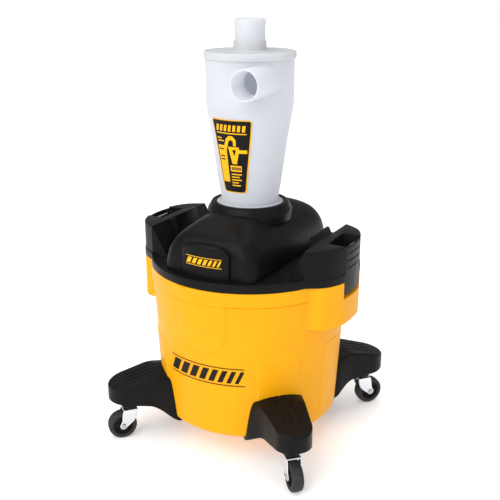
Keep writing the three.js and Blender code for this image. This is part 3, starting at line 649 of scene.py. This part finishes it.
def tower(name, angle):
    """A latch housing: curved outside, a face that slopes inwards, and a step above the rim."""
    top = TOWER_TOP
    slope = (TOWER_INNER_X - TOWER_FOOT_X) / (top - DECK)
    stations = [(LID_BOTTOM, 0.4), (LID_BOTTOM + 0.5, 0.0), (DECK - 0.9, 0.0), (DECK - 0.4, 0.3),
                (DECK, 0.9), (DECK + 1, 1.0), (DECK + 20, 1.0), (top - 1.6, 1.0), (top - 0.8, 1.2),
                (top - 0.25, 1.7), (top, 2.6)]
    rings = []
    for z, shrink in stations:
        inner = TOWER_FOOT_X + max(0.0, z - DECK) * slope
        edge = max(0.0, shrink - 1.0)
        plan = block_plan(shrink)
        tip = plan[0][1]
        inner = min(inner + edge, plan[0][0] - 0.6)
        outline = [(inner, -tip), (inner, tip)] + plan
        rings.append([(x, y, z) for x, y in outline])
    body = loft(name, rings)
    reach = BLOCK_X + 6
    under = cylinder("under", RIM_R - 0.4, PLUG_BOTTOM - 20, DECK - 1, 180)
    fin_side = rounded([(TOWER_INNER_X + 5, top - 0.8), (FIN_X + 9, top - 1.6, 1.5),
                        (FIN_X + 4.5, FIN_TOP - 0.8, 1.0), (FIN_X, FIN_TOP, 1.0), (FIN_X - 4, DECK - 2),
                        (TOWER_INNER_X + 5, DECK - 2)])
    fin = moved(extruded("fin", fin_side, -FIN_Y, FIN_Y, 0.8), UPRIGHT)
    hole = rounded([(POCKET_X, -RECESS_Y, 3), (reach, -RECESS_Y), (reach, RECESS_Y),
                    (POCKET_X, RECESS_Y, 3)])
    pocket = extruded("pocket", hole, POCKET_FLOOR, FIN_TOP + 6, SHARP, 1.5)
    window = block("window", (RECESS_X, -RECESS_Y, LID_BOTTOM - 5), (reach, RECESS_Y, FIN_TOP + 6),
                   SHARP)
    carve(body, under)
    fuse(body, fin)
    carve(body, pocket, window)
    soften(body, 0.9, 2, 34)
    return moved(body, turn(angle, "Z"))


def lid():
    """The whole moulding: a rimmed plate and its plug, dome, panel, towers, collar and ledge."""
    inside = PLUG_R - SKIN
    shell = spun("lid_moulding", [
        (0, DECK - SKIN), (inside, DECK - SKIN), (inside, PLUG_BOTTOM, 0.8), (PLUG_R, PLUG_BOTTOM, 0.8),
        (PLUG_R, GROOVE_TOP), (GROOVE_R, GROOVE_TOP), (GROOVE_R, LID_BOTTOM), (RIM_R, LID_BOTTOM, 0.5),
        (RIM_R, DECK, 1.8), (RIM_R - 7, DECK, 0.5), (RIM_R - 7.8, DECK - 1.0, 0.5), (0, DECK - 1.0),
    ], 200)
    front = panel("panel", 0, DECK - 2, 2.2)
    towers = [tower("tower_right", 0), tower("tower_left", 180)]
    fuse(shell, dome("dome", 0, DECK - 2), front, *towers, sharp_deg=30)
    mouth = cylinder("mouth", inside, PLUG_BOTTOM - 5, DECK - SKIN, 200)
    seat_r = FLANGE_R + 0.6
    foot = LEDGE_TOP - LEDGE_THICK
    room = cylinder("room", seat_r, LEDGE_TOP - 30, foot)
    carve(shell, mouth, dome("dome_room", SKIN, DECK - 9), panel("panel_room", SKIN, DECK - 9, 1),
          room, sharp_deg=30)
    collar = spun("collar", [
        (seat_r, foot), (COLLAR_R - 1, LEDGE_TOP - 22), (COLLAR_R, LEDGE_TOP - 6, 7),
        (COLLAR_R - 8, COLLAR_TOP, 5), (seat_r, COLLAR_TOP, 1.2),
    ], 128, closed=True, steps=7)
    ledge = spun("ledge", [
        (THROAT_R, foot, 0.5), (seat_r + 2, foot), (seat_r + 2, LEDGE_TOP), (THROAT_R, LEDGE_TOP, 0.5),
    ], 96, closed=True)
    fuse(shell, collar, ledge, sharp_deg=30)
    seat = cylinder("seat", seat_r, LEDGE_TOP, COLLAR_TOP + 9, 128)
    throat = cylinder("throat", THROAT_R, foot - 9, LEDGE_TOP + 5)
    return carve(shell, seat, throat, sharp_deg=30)


finished(lid(), BLACK, "lid", "black_plastic", "lid_shell")


def latch(name, angle):
    """The +X latch, turned to its side: a bowed plate on two webs, with three grooves and a hook."""
    low, high = box_mm("latch_right")
    wall, bow, half = 4.0, 330.0, high.y
    ys = np.linspace(-half, half, 25)
    inner = ys[np.abs(ys) < half - 6]

    def bowed(values, out):
        return [(high.x - y * y / bow + out, y) for y in values]

    plate = extruded(name, bowed(ys, 0) + bowed(ys[::-1], -wall), low.z, high.z, 1.1)
    groove = (bowed(inner, -1.3) + bowed(inner[::-1], 3))[::-1]
    cuts = [extruded("groove", groove, z - 1.1, z + 1.1, 0.3) for z in (378, 365, 352)]
    pivot_x, _, pivot_z = (v / MM for v in JOINTS["latch_right_swing"]["pos_m"])
    back = high.x - wall
    web = rounded([(back + 1, pivot_z - 26), (back + 1, pivot_z + 5), (pivot_x, pivot_z + 5.5, 3),
                   (pivot_x - 4.8, pivot_z, 3), (pivot_x, pivot_z - 5.5, 3)])
    webs = [moved(extruded("web", web, -3, 3, 0.4), shift(y=y) @ UPRIGHT) for y in (-24, 24)]
    hook = block("hook", (RECESS_X + 1.4, -20, low.z + 3), (back + 0.5, 20, low.z + 6), 0.5)
    fuse(plate, *webs, hook)
    bore = moved(cylinder("bore", 2.3, -36, 36, 24), shift(x=pivot_x, z=pivot_z) @ turn(90, "X"))
    carve(plate, bore, *cuts)
    return moved(plate, turn(angle, "Z"))


for side_name, angle in (("right", 0), ("left", 180)):
    finished(latch("latch_plate_" + side_name, angle), BLACK, "latch_" + side_name, "black_plastic",
             "latch_" + side_name)
    low, high = box_mm("latch_pin_" + side_name)
    middle = (low + high) / 2
    half, radius = (high.y - low.y) / 2, (high.z - low.z) / 2
    corners = [(0, -half), (radius, -half, 0.6), (radius, half, 0.6), (0, half)]
    pin = spun("latch_rod_" + side_name, corners, 32)
    moved(pin, shift(*middle) @ turn(90, "X"))
    finished(pin, STEEL, "lid", "steel", "latch_pin_" + side_name)


# ---- cyclone ---------------------------------------------

def cone_radius(z):
    line = np.array(spline(CONE, 8))
    return np.interp(z, line[:, 1], line[:, 0])


def cyclone():
    """Foot flange, cone, cylinder and inlet port, open at both ends."""
    line = spline(CONE, 6)
    root, lip = line[0][0], CYCLONE_TOP
    flange = rounded([(0, FLANGE_BOTTOM), (FLANGE_R, FLANGE_BOTTOM, 0.8), (FLANGE_R, FLANGE_TOP, 1.2),
                      (root + 3, FLANGE_TOP)], closed=False)
    outer = [*flange, (root + 1.2, FLANGE_TOP + 0.3), (root + 0.4, FLANGE_TOP + 1.4), *line[1:],
             (CYCLONE_R, lip - 0.6), (CYCLONE_R - 0.6, lip), (0, lip)]
    bore = [(r - CYCLONE_WALL, z) for r, z in line]
    inner = [(0, FLANGE_BOTTOM - 5), (bore[0][0], FLANGE_BOTTOM - 5), *bore,
             (CYCLONE_R - CYCLONE_WALL, lip + 5), (0, lip + 5)]
    body = turned("cyclone_wall", outer, 144)
    length = -INLET_Y
    flare = INLET_BORE_R + 0.7
    pipe = spun("pipe", [(0, 0), (INLET_R, 0), (INLET_R, length, 0.9), (0, length)], 96)
    drill = spun("drill", [(0, -1), (INLET_BORE_R, -1), (INLET_BORE_R, length - 1), (flare, length),
                           (flare, length + 6), (0, length + 6)], 96)
    lay = shift(INLET_X, 0, INLET_Z) @ turn(90, "X")
    fuse(body, moved(pipe, lay))
    carve(body, turned("inside", inner, 144))
    return carve(body, moved(drill, lay))


finished(cyclone(), MILKY, "lid", "milky_plastic", "cyclone_body")


def cap():
    """A lid with a raised rim and a collar round the outlet tube."""
    low, high = box_mm("cyclone_cap")
    edge, top, collar_top = high.y, CAP_TOP, high.z
    bore, seat = box_mm("outlet_tube")[1].y + 0.3, CYCLONE_R + 0.4
    return spun("cap_moulding", [
        (bore, top - 2.4), (seat, top - 2.4), (seat, low.z), (edge - 0.4, low.z, 0.5),
        (edge, top - 5.2, 0.6), (edge - 0.5, top - 4.6, 0.6), (edge - 0.5, top, 1.6), (edge - 4, top, 0.6),
        (edge - 4.8, top - 0.9, 0.5), (30.5, top - 0.9, 1.4), (28.2, top + 1.5, 1.4),
        (27.8, collar_top, 0.9), (bore, collar_top, 0.4),
    ], 144, closed=True)


def outlet():
    """The tube through the cap, a little slimmer at its tip."""
    low, high = box_mm("outlet_tube")
    outer, bore = high.y, 23.6
    tip = outer - 0.35
    return spun("outlet_pipe", [
        (bore, low.z, 0.5), (outer, low.z, 0.5), (outer, high.z - 4.5, 0.8), (tip, high.z - 3.9, 0.5),
        (tip, high.z, 1.1), (bore, high.z, 0.8),
    ], 128, closed=True, steps=3)


finished(cap(), WHITE, "lid", "white_plastic", "cyclone_cap")
finished(outlet(), TUBE, "lid", "milky_plastic", "outlet_tube")


# ---- seals, clamp and screws -----------------------------

def ring_of(name, node, inner, edge=0.5, segments=128):
    """A flat ring with its node's height and outer radius."""
    low, high = box_mm(node)
    corners = [(inner, low.z, edge), (high.y, low.z, edge), (high.y, high.z, edge), (inner, high.z, edge)]
    return spun(name, corners, segments, closed=True)


finished(ring_of("lid_seal", "lid_gasket", 174.1, 0.8, 160), SEAL, "lid", "seal_rubber", "lid_gasket")
finished(ring_of("flange_seal", "flange_gasket", 48), SEAL, "lid", "seal_rubber", "flange_gasket")
finished(ring_of("clamp_washer", "flange_clamp_ring", 47), ZINC, "lid", "zinc_steel", "flange_clamp_ring")


def pan_screw(name, node):
    """A pan head with a cross recess, on a shank with a shallow thread."""
    low, high = box_mm(node)
    middle = (low + high) / 2
    head, shank, head_top = 4.2, 2.0, low.z + 2.7
    profile = rounded([(0, low.z), (head, low.z, 1.3), (head, head_top, 0.3), (shank, head_top)],
                      closed=False, steps=5)
    z, pitch, depth = head_top, 1.0, 0.28
    while z < high.z - 1.6:
        profile += [(shank, z + 0.3), (shank - depth, z + 0.7)]
        z += pitch
    profile += [(shank * 0.6, high.z - 0.4), (0, high.z)]
    screw = turned(name, profile, 28, sharp_deg=50)
    long, thin = 2.2, 0.45
    slots = [block("slot", (-a, -b, low.z - 1), (a, b, low.z + 1.5), SHARP)
             for a, b in ((long, thin), (thin, long))]
    carve(screw, *slots)
    return moved(screw, shift(middle.x, middle.y))


for i in range(1, 7):
    node = f"clamp_screw_{i}"
    finished(pan_screw(f"ring_screw_{i}", node), ZINC, "lid", "zinc_steel", node)


# ---- prints ----------------------------------------------

def plated(name, pieces, face, proud, thick, step=5.0):
    """Thin plates on a face, which face(x, z, proud) gives as y. A piece is an outline in x, z."""
    work = bmesh.new()
    for outline in pieces:
        corners = [work.verts.new((x, 0, z)) for x, z in outline]
        work.faces.new(corners)
    lows = np.min([np.min(p, axis=0) for p in pieces], axis=0)
    highs = np.max([np.max(p, axis=0) for p in pieces], axis=0)
    for low, high, normal in zip(lows, highs, (Vector((1, 0, 0)), Vector((0, 0, 1)))):
        for at in np.arange(math.floor(low / step) * step, high, step):
            parts = work.verts[:] + work.edges[:] + work.faces[:]
            bmesh.ops.bisect_plane(work, geom=parts, plane_co=normal * at, plane_no=normal, dist=1e-5)
    made = bmesh.ops.extrude_face_region(work, geom=work.faces[:])
    for vert in made["geom"]:
        if isinstance(vert, bmesh.types.BMVert):
            vert.co.y = 1
    for vert in work.verts:
        out = proud + (thick if vert.co.y > 0.5 else 0)
        vert.co = Vector((vert.co.x, face(vert.co.x, vert.co.z, out), vert.co.z)) * MM
    bmesh.ops.recalc_face_normals(work, faces=work.faces)
    mesh = bpy.data.meshes.new(name)
    work.to_mesh(mesh)
    work.free()
    return shade(placed(name, mesh), 35)


def on_cone(x, z, proud):
    return -math.sqrt((float(cone_radius(z)) + proud) ** 2 - x * x)


def on_tank(x, z, proud):
    return -math.sqrt((wall_radius(z) + proud) ** 2 - x * x)


def on_panel(x, z, proud):
    return float(panel_face(x, proud))


def slanted(x0, x1, z0, z1, lean):
    return [(x0, z0), (x1, z0), (x1 + lean, z1), (x0 + lean, z1)]


LABEL_FOOT, LABEL_HEAD = (21.0, 465.0), (38.5, 593.0)


def label_half(z):
    return np.interp(z, (LABEL_FOOT[1], LABEL_HEAD[1]), (LABEL_FOOT[0], LABEL_HEAD[0]))


def label_plan(shrink, corner):
    (a, low), (b, high) = LABEL_FOOT, LABEL_HEAD
    corners = [(-a + shrink, low + shrink, corner), (a - shrink, low + shrink, corner),
               (b - shrink, high - shrink, corner * 0.6), (-b + shrink, high - shrink, corner * 0.6)]
    return rounded(corners, steps=5)


def label_box(left, right, low, high):
    """A box given by its share of the label's half width, so that it leans with the sides."""
    return [(left * label_half(low), low), (right * label_half(low), low),
            (right * label_half(high), high), (left * label_half(high), high)]


def label_details():
    """A header of slanted bars, a plain field on the left, and a diagram of a cone over a bin."""
    bars = [slanted(x, x + 5.0, 573, 584, 2.2) for x in np.linspace(-29, 21, 7)]
    rule = label_box(-0.80, 0.80, 568.5, 570.3)
    field = label_box(-0.86, -0.30, 484, 548)
    hose = [(-16, 541), (-9, 541), (-4.5, 556), (0, 559), (4, 556), (4, 548), (9, 548), (9, 559),
            (3.5, 565.3), (-3.5, 565.3), (-9.5, 560)]
    cone = [(-6, 546.5), (14, 546.5), (14, 542), (27, 542), (27, 536), (13, 536), (8.5, 517), (0.5, 517)]
    bin_box = label_box(-0.14, 0.60, 503.5, 514.0)
    yellow = [*bars, rule, field, hose, cone, bin_box]
    for low, right in ((497.5, 0.62), (492.5, 0.48), (487.5, 0.62), (482.5, 0.40), (477.5, 0.55)):
        yellow.append(label_box(-0.12, right, low, low + 2.1))
    for low, right in ((559.5, -0.55), (554.8, -0.42)):
        yellow.append(label_box(-0.82, right, low, low + 2.0))
    black = [label_box(-0.80, -0.46, z, z + 2.2) for z in (540.5, 528.0, 522.5)]
    black.append([(1.5, 541.5), (8.5, 541.5), (5.0, 530.5)])
    black += [label_box(-0.06 + k * 0.13, 0.02 + k * 0.13, 506.0, 511.6) for k in range(5)]
    return yellow, black


film, ink = 0.42, 0.16
sticker = plated("label_film", [label_plan(0, 6)], on_cone, film, 0.4)
finished(sticker, INK_YELLOW, "lid", "label", "cone_label")
finished(plated("label_field", [label_plan(1.7, 5)], on_cone, film + 0.42, ink), INK_BLACK, "lid", "label")
yellow_marks, black_marks = label_details()
finished(plated("label_marks", yellow_marks, on_cone, film + 0.6, ink), INK_YELLOW, "lid", "label")
finished(plated("label_notes", black_marks, on_cone, film + 0.78, ink), INK_BLACK, "lid", "label")


def bar_row(half, low, high, count, lean, widest, narrowest):
    """Slanted bars between two levels, from wide on the left to narrow on the right."""
    widths = np.linspace(widest, narrowest, count)
    gap = (2 * half - lean - widths.sum()) / (count - 1)
    bars, x = [], -half
    for width in widths:
        bars.append(slanted(x, x + width, low, high, lean))
        x += width + gap
    return bars


low, high = box_mm("tank_decal")
half = 73
marks = bar_row(half, low.z + 6, high.z - 6, count=8, lean=10, widest=16, narrowest=6)
marks += [slanted(-half, half, z, z + 1.5, 0) for z in (low.z + 0.5, high.z - 2)]
finished(plated("tank_print", marks, on_tank, 0.35, 0.3), INK_BROWN, "base", "print", "tank_decal")
low, high = box_mm("lid_badge")
half = 34
marks = bar_row(half, low.z + 3, high.z - 3, count=7, lean=5, widest=8, narrowest=3.5)
marks += [slanted(-half, half, z, z + 1.0, 0) for z in (low.z, high.z - 1)]
finished(plated("panel_print", marks, on_panel, 0.02, 0.5), INK_YELLOW, "lid", "badge", "lid_badge")


# ---- arms ------------------------------------------------

ARM_CREST, ARM_SLOPE, ARM_DEPTH = 138.0, 0.245, 88.0
# The sides run straight to the waist, close towards the bend, and end in a round tip.
ARM_FOOT, ARM_WAIST, ARM_BEND, ARM_REACH = 122, 160, 236, 270.0
ARM_ROOT_HALF, ARM_TIP_HALF = 43, 32.5
ARM_UNDERSIDE = [(100, 47), (151, 47), (155, 48.5), (163, 56), (171, 62.5), (181, 69), (192, 72.8),
                 (206, 74.6), (218, 75.4), (254, 79.5), (271, 82)]
SOCKET_FOOT = 76


def arm_crest(along):
    return ARM_CREST - (along - ARM_WAIST) * ARM_SLOPE


def underside(along):
    return np.interp(along, *zip(*ARM_UNDERSIDE))


def arm_plan(shrink):
    root, tip = ARM_ROOT_HALF - shrink, ARM_TIP_HALF - shrink
    reach = ARM_REACH - ARM_BEND - shrink
    sides = [(x, root) for x in (ARM_FOOT, 140, 150)]
    for x in range(ARM_WAIST, ARM_BEND, 6):
        sides.append((x, root + (tip - root) * (x - ARM_WAIST) / (ARM_BEND - ARM_WAIST)))
    nose = [(ARM_BEND + reach * math.sin(a), tip * math.cos(a)) for a in np.linspace(0, math.pi, 25)]
    return (sides + nose + flipped(sides))[::-1]


def arm_solid(name, shrink, lower, drop, edge):
    """An arm along +X, shrunk in plan, lower at its foot and dropped at its crest."""
    def flare(ring):
        """Next to the tank, spreads the side walls towards their foot and rounds the shoulders."""
        x, y, z = ring.T
        near = ease((200 - x) / 44)
        depth = np.clip((arm_crest(x) - z) / ARM_DEPTH, 0, 1)
        shoulder = 13 * near * (1 - depth) * (np.abs(y) / ARM_ROOT_HALF) ** 2.2
        return np.column_stack([x, y * (1 + 0.31 * near * depth ** 0.5), z - shoulder])

    def low(x, y):
        return underside(x) - lower

    def high(x, y):
        return arm_crest(x) - drop

    return extruded(name, arm_plan(shrink), low, high, edge, min(edge, 1.0), steps=5, warp=flare,
                    levels=9, spine=8)


def arm_template():
    """A hollow arm along +X: a socket for the stem, three channels on top and two screw holes."""
    arm = arm_solid("arm_template", 0, 0, 0, 3.4)
    room = arm_solid("arm_room", SKIN, 14, SKIN, 2.5)
    carve(room, block("trim", (60, -90, 20), (165, 90, 180), SHARP))
    carve(arm, room)
    socket_top = arm_crest(SWIVEL_R) - 2
    socket = spun("socket", [(0, SOCKET_FOOT), (10, SOCKET_FOOT, 0.8), (10, socket_top), (0, socket_top)],
                  40)
    web = block("web", (176, -1.2, SOCKET_FOOT), (258, 1.2, 112), 0.3)
    fuse(arm, moved(socket, shift(x=SWIVEL_R)), web)
    hole = cylinder("hole", 6.0, 60, STEM_HIGH.z + 0.4, 40)
    tilt = shift(z=arm_crest(0)) @ turn(math.degrees(math.atan(ARM_SLOPE)), "Y")
    channels = [moved(block("channel", (150, y - 1.5, -1.0), (246, y + 1.5, 4), 0.5), tilt)
                for y in (-13, 0, 13)]
    foot, bend, top = wall_radius(61), TANK_FLOOR - 0.6, 150
    tank_room = turned("tank_room", [(0, bend), (foot - 8.6, bend), (foot - 2.4, TANK_FLOOR + 2.0),
                                     (foot + 0.5, 61), (wall_radius(top) + 0.5, top), (0, top)], 220)
    carve(arm, moved(hole, shift(x=SWIVEL_R)), tank_room, *channels, sharp_deg=34)
    for y in (-20, 20):
        carve(arm, moved(cylinder("pilot", 2.7, 40, 60, 24), shift(139, y)), sharp_deg=34)
    return arm


ARM = arm_template()
for name in CASTERS:
    x, y = JOINTS["swivel_" + name]["pos_m"][:2]
    arm = copied(ARM, "arm_moulding_" + name, turn(math.degrees(math.atan2(y, x)), "Z"))
    finished(arm, BLACK, "base", "black_plastic", "arm_" + name)
    for which in ("inner", "outer"):
        node = f"arm_screw_{name}_{which}"
        finished(pan_screw(f"foot_screw_{name}_{which}", node), ZINC, "base", "zinc_steel", node)
bpy.data.objects.remove(ARM)


# ---- casters ---------------------------------------------

TRAIL, FORK_TOP, FORK_HALF, SHEET = 15.0, 59.0, 13.2, 2.0


def across(obj):
    """Lays a piece turned about its own axis across the fork, on the axle."""
    return moved(obj, shift(TRAIL, 0, WHEEL_R) @ turn(90, "X"))


def fork_template():
    """A pressed fork that trails along +X: two curved legs under a flat top, with an eye in each."""
    eye_r = 6.8
    eye = [(TRAIL + eye_r * math.cos(a), WHEEL_R + eye_r * math.sin(a))
           for a in np.radians(np.linspace(-150, 12, 14))]
    lead = spline([(-12.5, FORK_TOP - 7), (-11.2, 46), (-5.5, 35), eye[0]], 6)[:-1]
    outline = [(13.5, FORK_TOP), (-12.5, FORK_TOP), *lead, *eye, (17.5, 36), (16, 50)]
    fork = moved(extruded("fork_template", outline, -FORK_HALF, FORK_HALF, 1.6, steps=4), UPRIGHT)
    inside, under = FORK_HALF - SHEET, FORK_TOP - SHEET
    plan = [(-40, -20), (40, -20), (40, under), (-40, under)]
    room = extruded("room", plan, -inside, inside, 1.0, steps=4)
    bore = across(cylinder("bore", 3.2, -20, 20, 32))
    return soften(carve(fork, moved(room, UPRIGHT), bore), 0.35, 2, 45)


def axle_template():
    """A pin with a domed head outside each leg."""
    face, end = FORK_HALF + 0.3, FORK_HALF + 2.2
    half = [(3.0, 0), *rounded([(3.0, face), (4.4, face, 0.3), (4.4, end, 1.5), (0, end)],
                               closed=False, steps=5)]
    return across(turned("axle_template", flipped(half) + half[1:], 36))


def hub_template():
    """A boss and a rim on a thin web, with five ribs."""
    rim, boss = 18.3, 7.0
    side = [(3.3, 10.5, 0.4), (boss, 10.5, 0.8), (boss + 0.5, 5.2, 1.2), (rim - 3.2, 4.4, 1.4),
            (rim - 2.0, 9.0, 0.6), (rim, 9.0, 0.4)]
    hub = spun("hub_template", side + flipped(side), 72, closed=True, steps=3)
    ribs = [moved(block("rib", (boss - 0.5, -0.9, -7.6), (rim - 2.2, 0.9, 7.6), 0.4),
                  turn(72 * k + 18, "Z")) for k in range(5)]
    return across(fuse(hub, *ribs))


def tyre_template():
    inner, tread, half = 18.6, WHEEL_R, 10.0
    side = [(tread, 2.5, 4.0), (tread - 0.6, half - 2.4, 1.5), (tread - 3.2, half, 1.2),
            (inner + 1.2, half, 0.5), (inner, half - 0.6, 0.3)]
    return across(spun("tyre_template", flipped(side) + side, 112, closed=True))


BEARING_HEIGHT = 7.7


def bearing_template():
    """The dark dust cap over the swivel bearing."""
    low, top = STEM_LOW.z, STEM_LOW.z + BEARING_HEIGHT
    return spun("bearing_template", [
        (0, low), (11.5, low, 0.3), (13.2, low + 1.5, 0.6), (15, low + 4.8, 1.8), (14.2, top, 1.0),
        (0, top),
    ], 64)


def stem_template():
    """A plain stem whose flange stands on the bearing."""
    foot, top = STEM_LOW.z + BEARING_HEIGHT - 0.2, STEM_HIGH.z
    return spun("stem_template", [
        (0, foot), (9, foot), (9, foot + 0.9, 0.4), (5.5, foot + 1.6, 0.6), (5.5, top, 1.2), (0, top),
    ], 48)


TEMPLATES = {
    "bearing": (bearing_template(), HUB, "base", "steel", "caster_stem_"),
    "stem": (stem_template(), STEEL, "base", "steel", "caster_stem_"),
    "fork": (fork_template(), ZINC, "caster_", "zinc_steel", "caster_fork_"),
    "axle": (axle_template(), STEEL, "caster_", "steel", "caster_axle_"),
    "hub": (hub_template(), HUB, "wheel_", "hub_plastic", "wheel_hub_"),
    "tyre": (tyre_template(), TYRE, "wheel_", "tyre_rubber", "wheel_tyre_"),
}
for name in CASTERS:
    x, y = (v / MM for v in JOINTS["swivel_" + name]["pos_m"][:2])
    spin = JOINTS["roll_" + name]["pos_m"]
    trail_deg = math.degrees(math.atan2(spin[1] / MM - y, spin[0] / MM - x))
    place = shift(x, y) @ turn(trail_deg, "Z")
    for kind, (template, material, body, slot, node) in TEMPLATES.items():
        piece = copied(template, f"{kind}_piece_{name}", place)
        finished(piece, material, body if body == "base" else body + name, slot, node + name)
for template, *_ in TEMPLATES.values():
    bpy.data.objects.remove(template)


# ---- floor, light and camera -----------------------------

CAMERA_PLACE = (0.6678, -1.2258, 0.8135)
CAMERA_TILT, CAMERA_YAW = math.radians(71.45), math.radians(28.58)
LENS_MM, SENSOR_MM = 58.18, 36
FLOOR_REACH = 14.0  # in metres, as the camera's place is
# Each light's turn to the right of the camera, its height, strength and spread.
LIGHTS = {
    "key_light": (-38, 38, 2.25, 55),
    "fill_light": (48, 30, 0.5, 60),
    "top_light": (170, 78, 1.2, 60),
}
WALL_LIGHT = 0.36


def floor():
    """A pale sheet that glows a little, and is wide enough to reach past every view."""
    verts = [(x * FLOOR_REACH, y * FLOOR_REACH, 0) for x, y in ((-1, -1), (1, -1), (1, 1), (-1, 1))]
    mesh = bpy.data.meshes.new("floor")
    mesh.from_pydata(verts, [], [(0, 1, 2, 3)])
    sheet = placed("floor", mesh)
    n = Nodes("floor_paper")
    paint = n.blend(n.noise(400, 2.0), (0.93, 0.93, 0.93, 1), (0.96, 0.96, 0.96, 1))
    grain = n.bump(n.noise(3, 2.0), 0.1, 0.2)
    sheet.data.materials.append(n.principled(Base_Color=paint, Roughness=0.7, Normal=grain,
                                             Emission_Color=(1, 1, 1, 1), Emission_Strength=0.25))
    sheet.rotation_euler.z = CAMERA_YAW


def soft_sun(name, turn_deg, height_deg, strength, spread_deg):
    """Even studio light from a broad source."""
    light = bpy.data.lights.new(name, "SUN")
    light.energy = strength
    light.angle = math.radians(spread_deg)
    lamp = placed(name, light)
    lamp.rotation_euler = (math.radians(90 - height_deg), 0, CAMERA_YAW + math.radians(turn_deg))


camera_data = bpy.data.cameras.new("camera")
camera_data.lens = LENS_MM
camera_data.sensor_width = SENSOR_MM
camera = placed("camera", camera_data)
camera.location = CAMERA_PLACE
camera.rotation_euler = (CAMERA_TILT, 0, CAMERA_YAW)
bpy.context.scene.camera = camera

floor()
for name, values in LIGHTS.items():
    soft_sun(name, *values)

world = bpy.data.worlds.new("studio")
world.use_nodes = True
nodes, links = world.node_tree.nodes, world.node_tree.links
background = nodes["Background"]
background.inputs["Color"].default_value = (1, 1, 1, 1)
# The studio's walls are white to the eye, and light the object more dimly.
eye = nodes.new("ShaderNodeLightPath").outputs["Is Camera Ray"]
walls = nodes.new("ShaderNodeMapRange")
walls.inputs["To Min"].default_value = WALL_LIGHT
walls.inputs["To Max"].default_value = 1.0
links.new(eye, walls.inputs["Value"])
links.new(walls.outputs["Result"], background.inputs["Strength"])
bpy.context.scene.world = world
bpy.context.scene.view_settings.view_transform = "Standard"
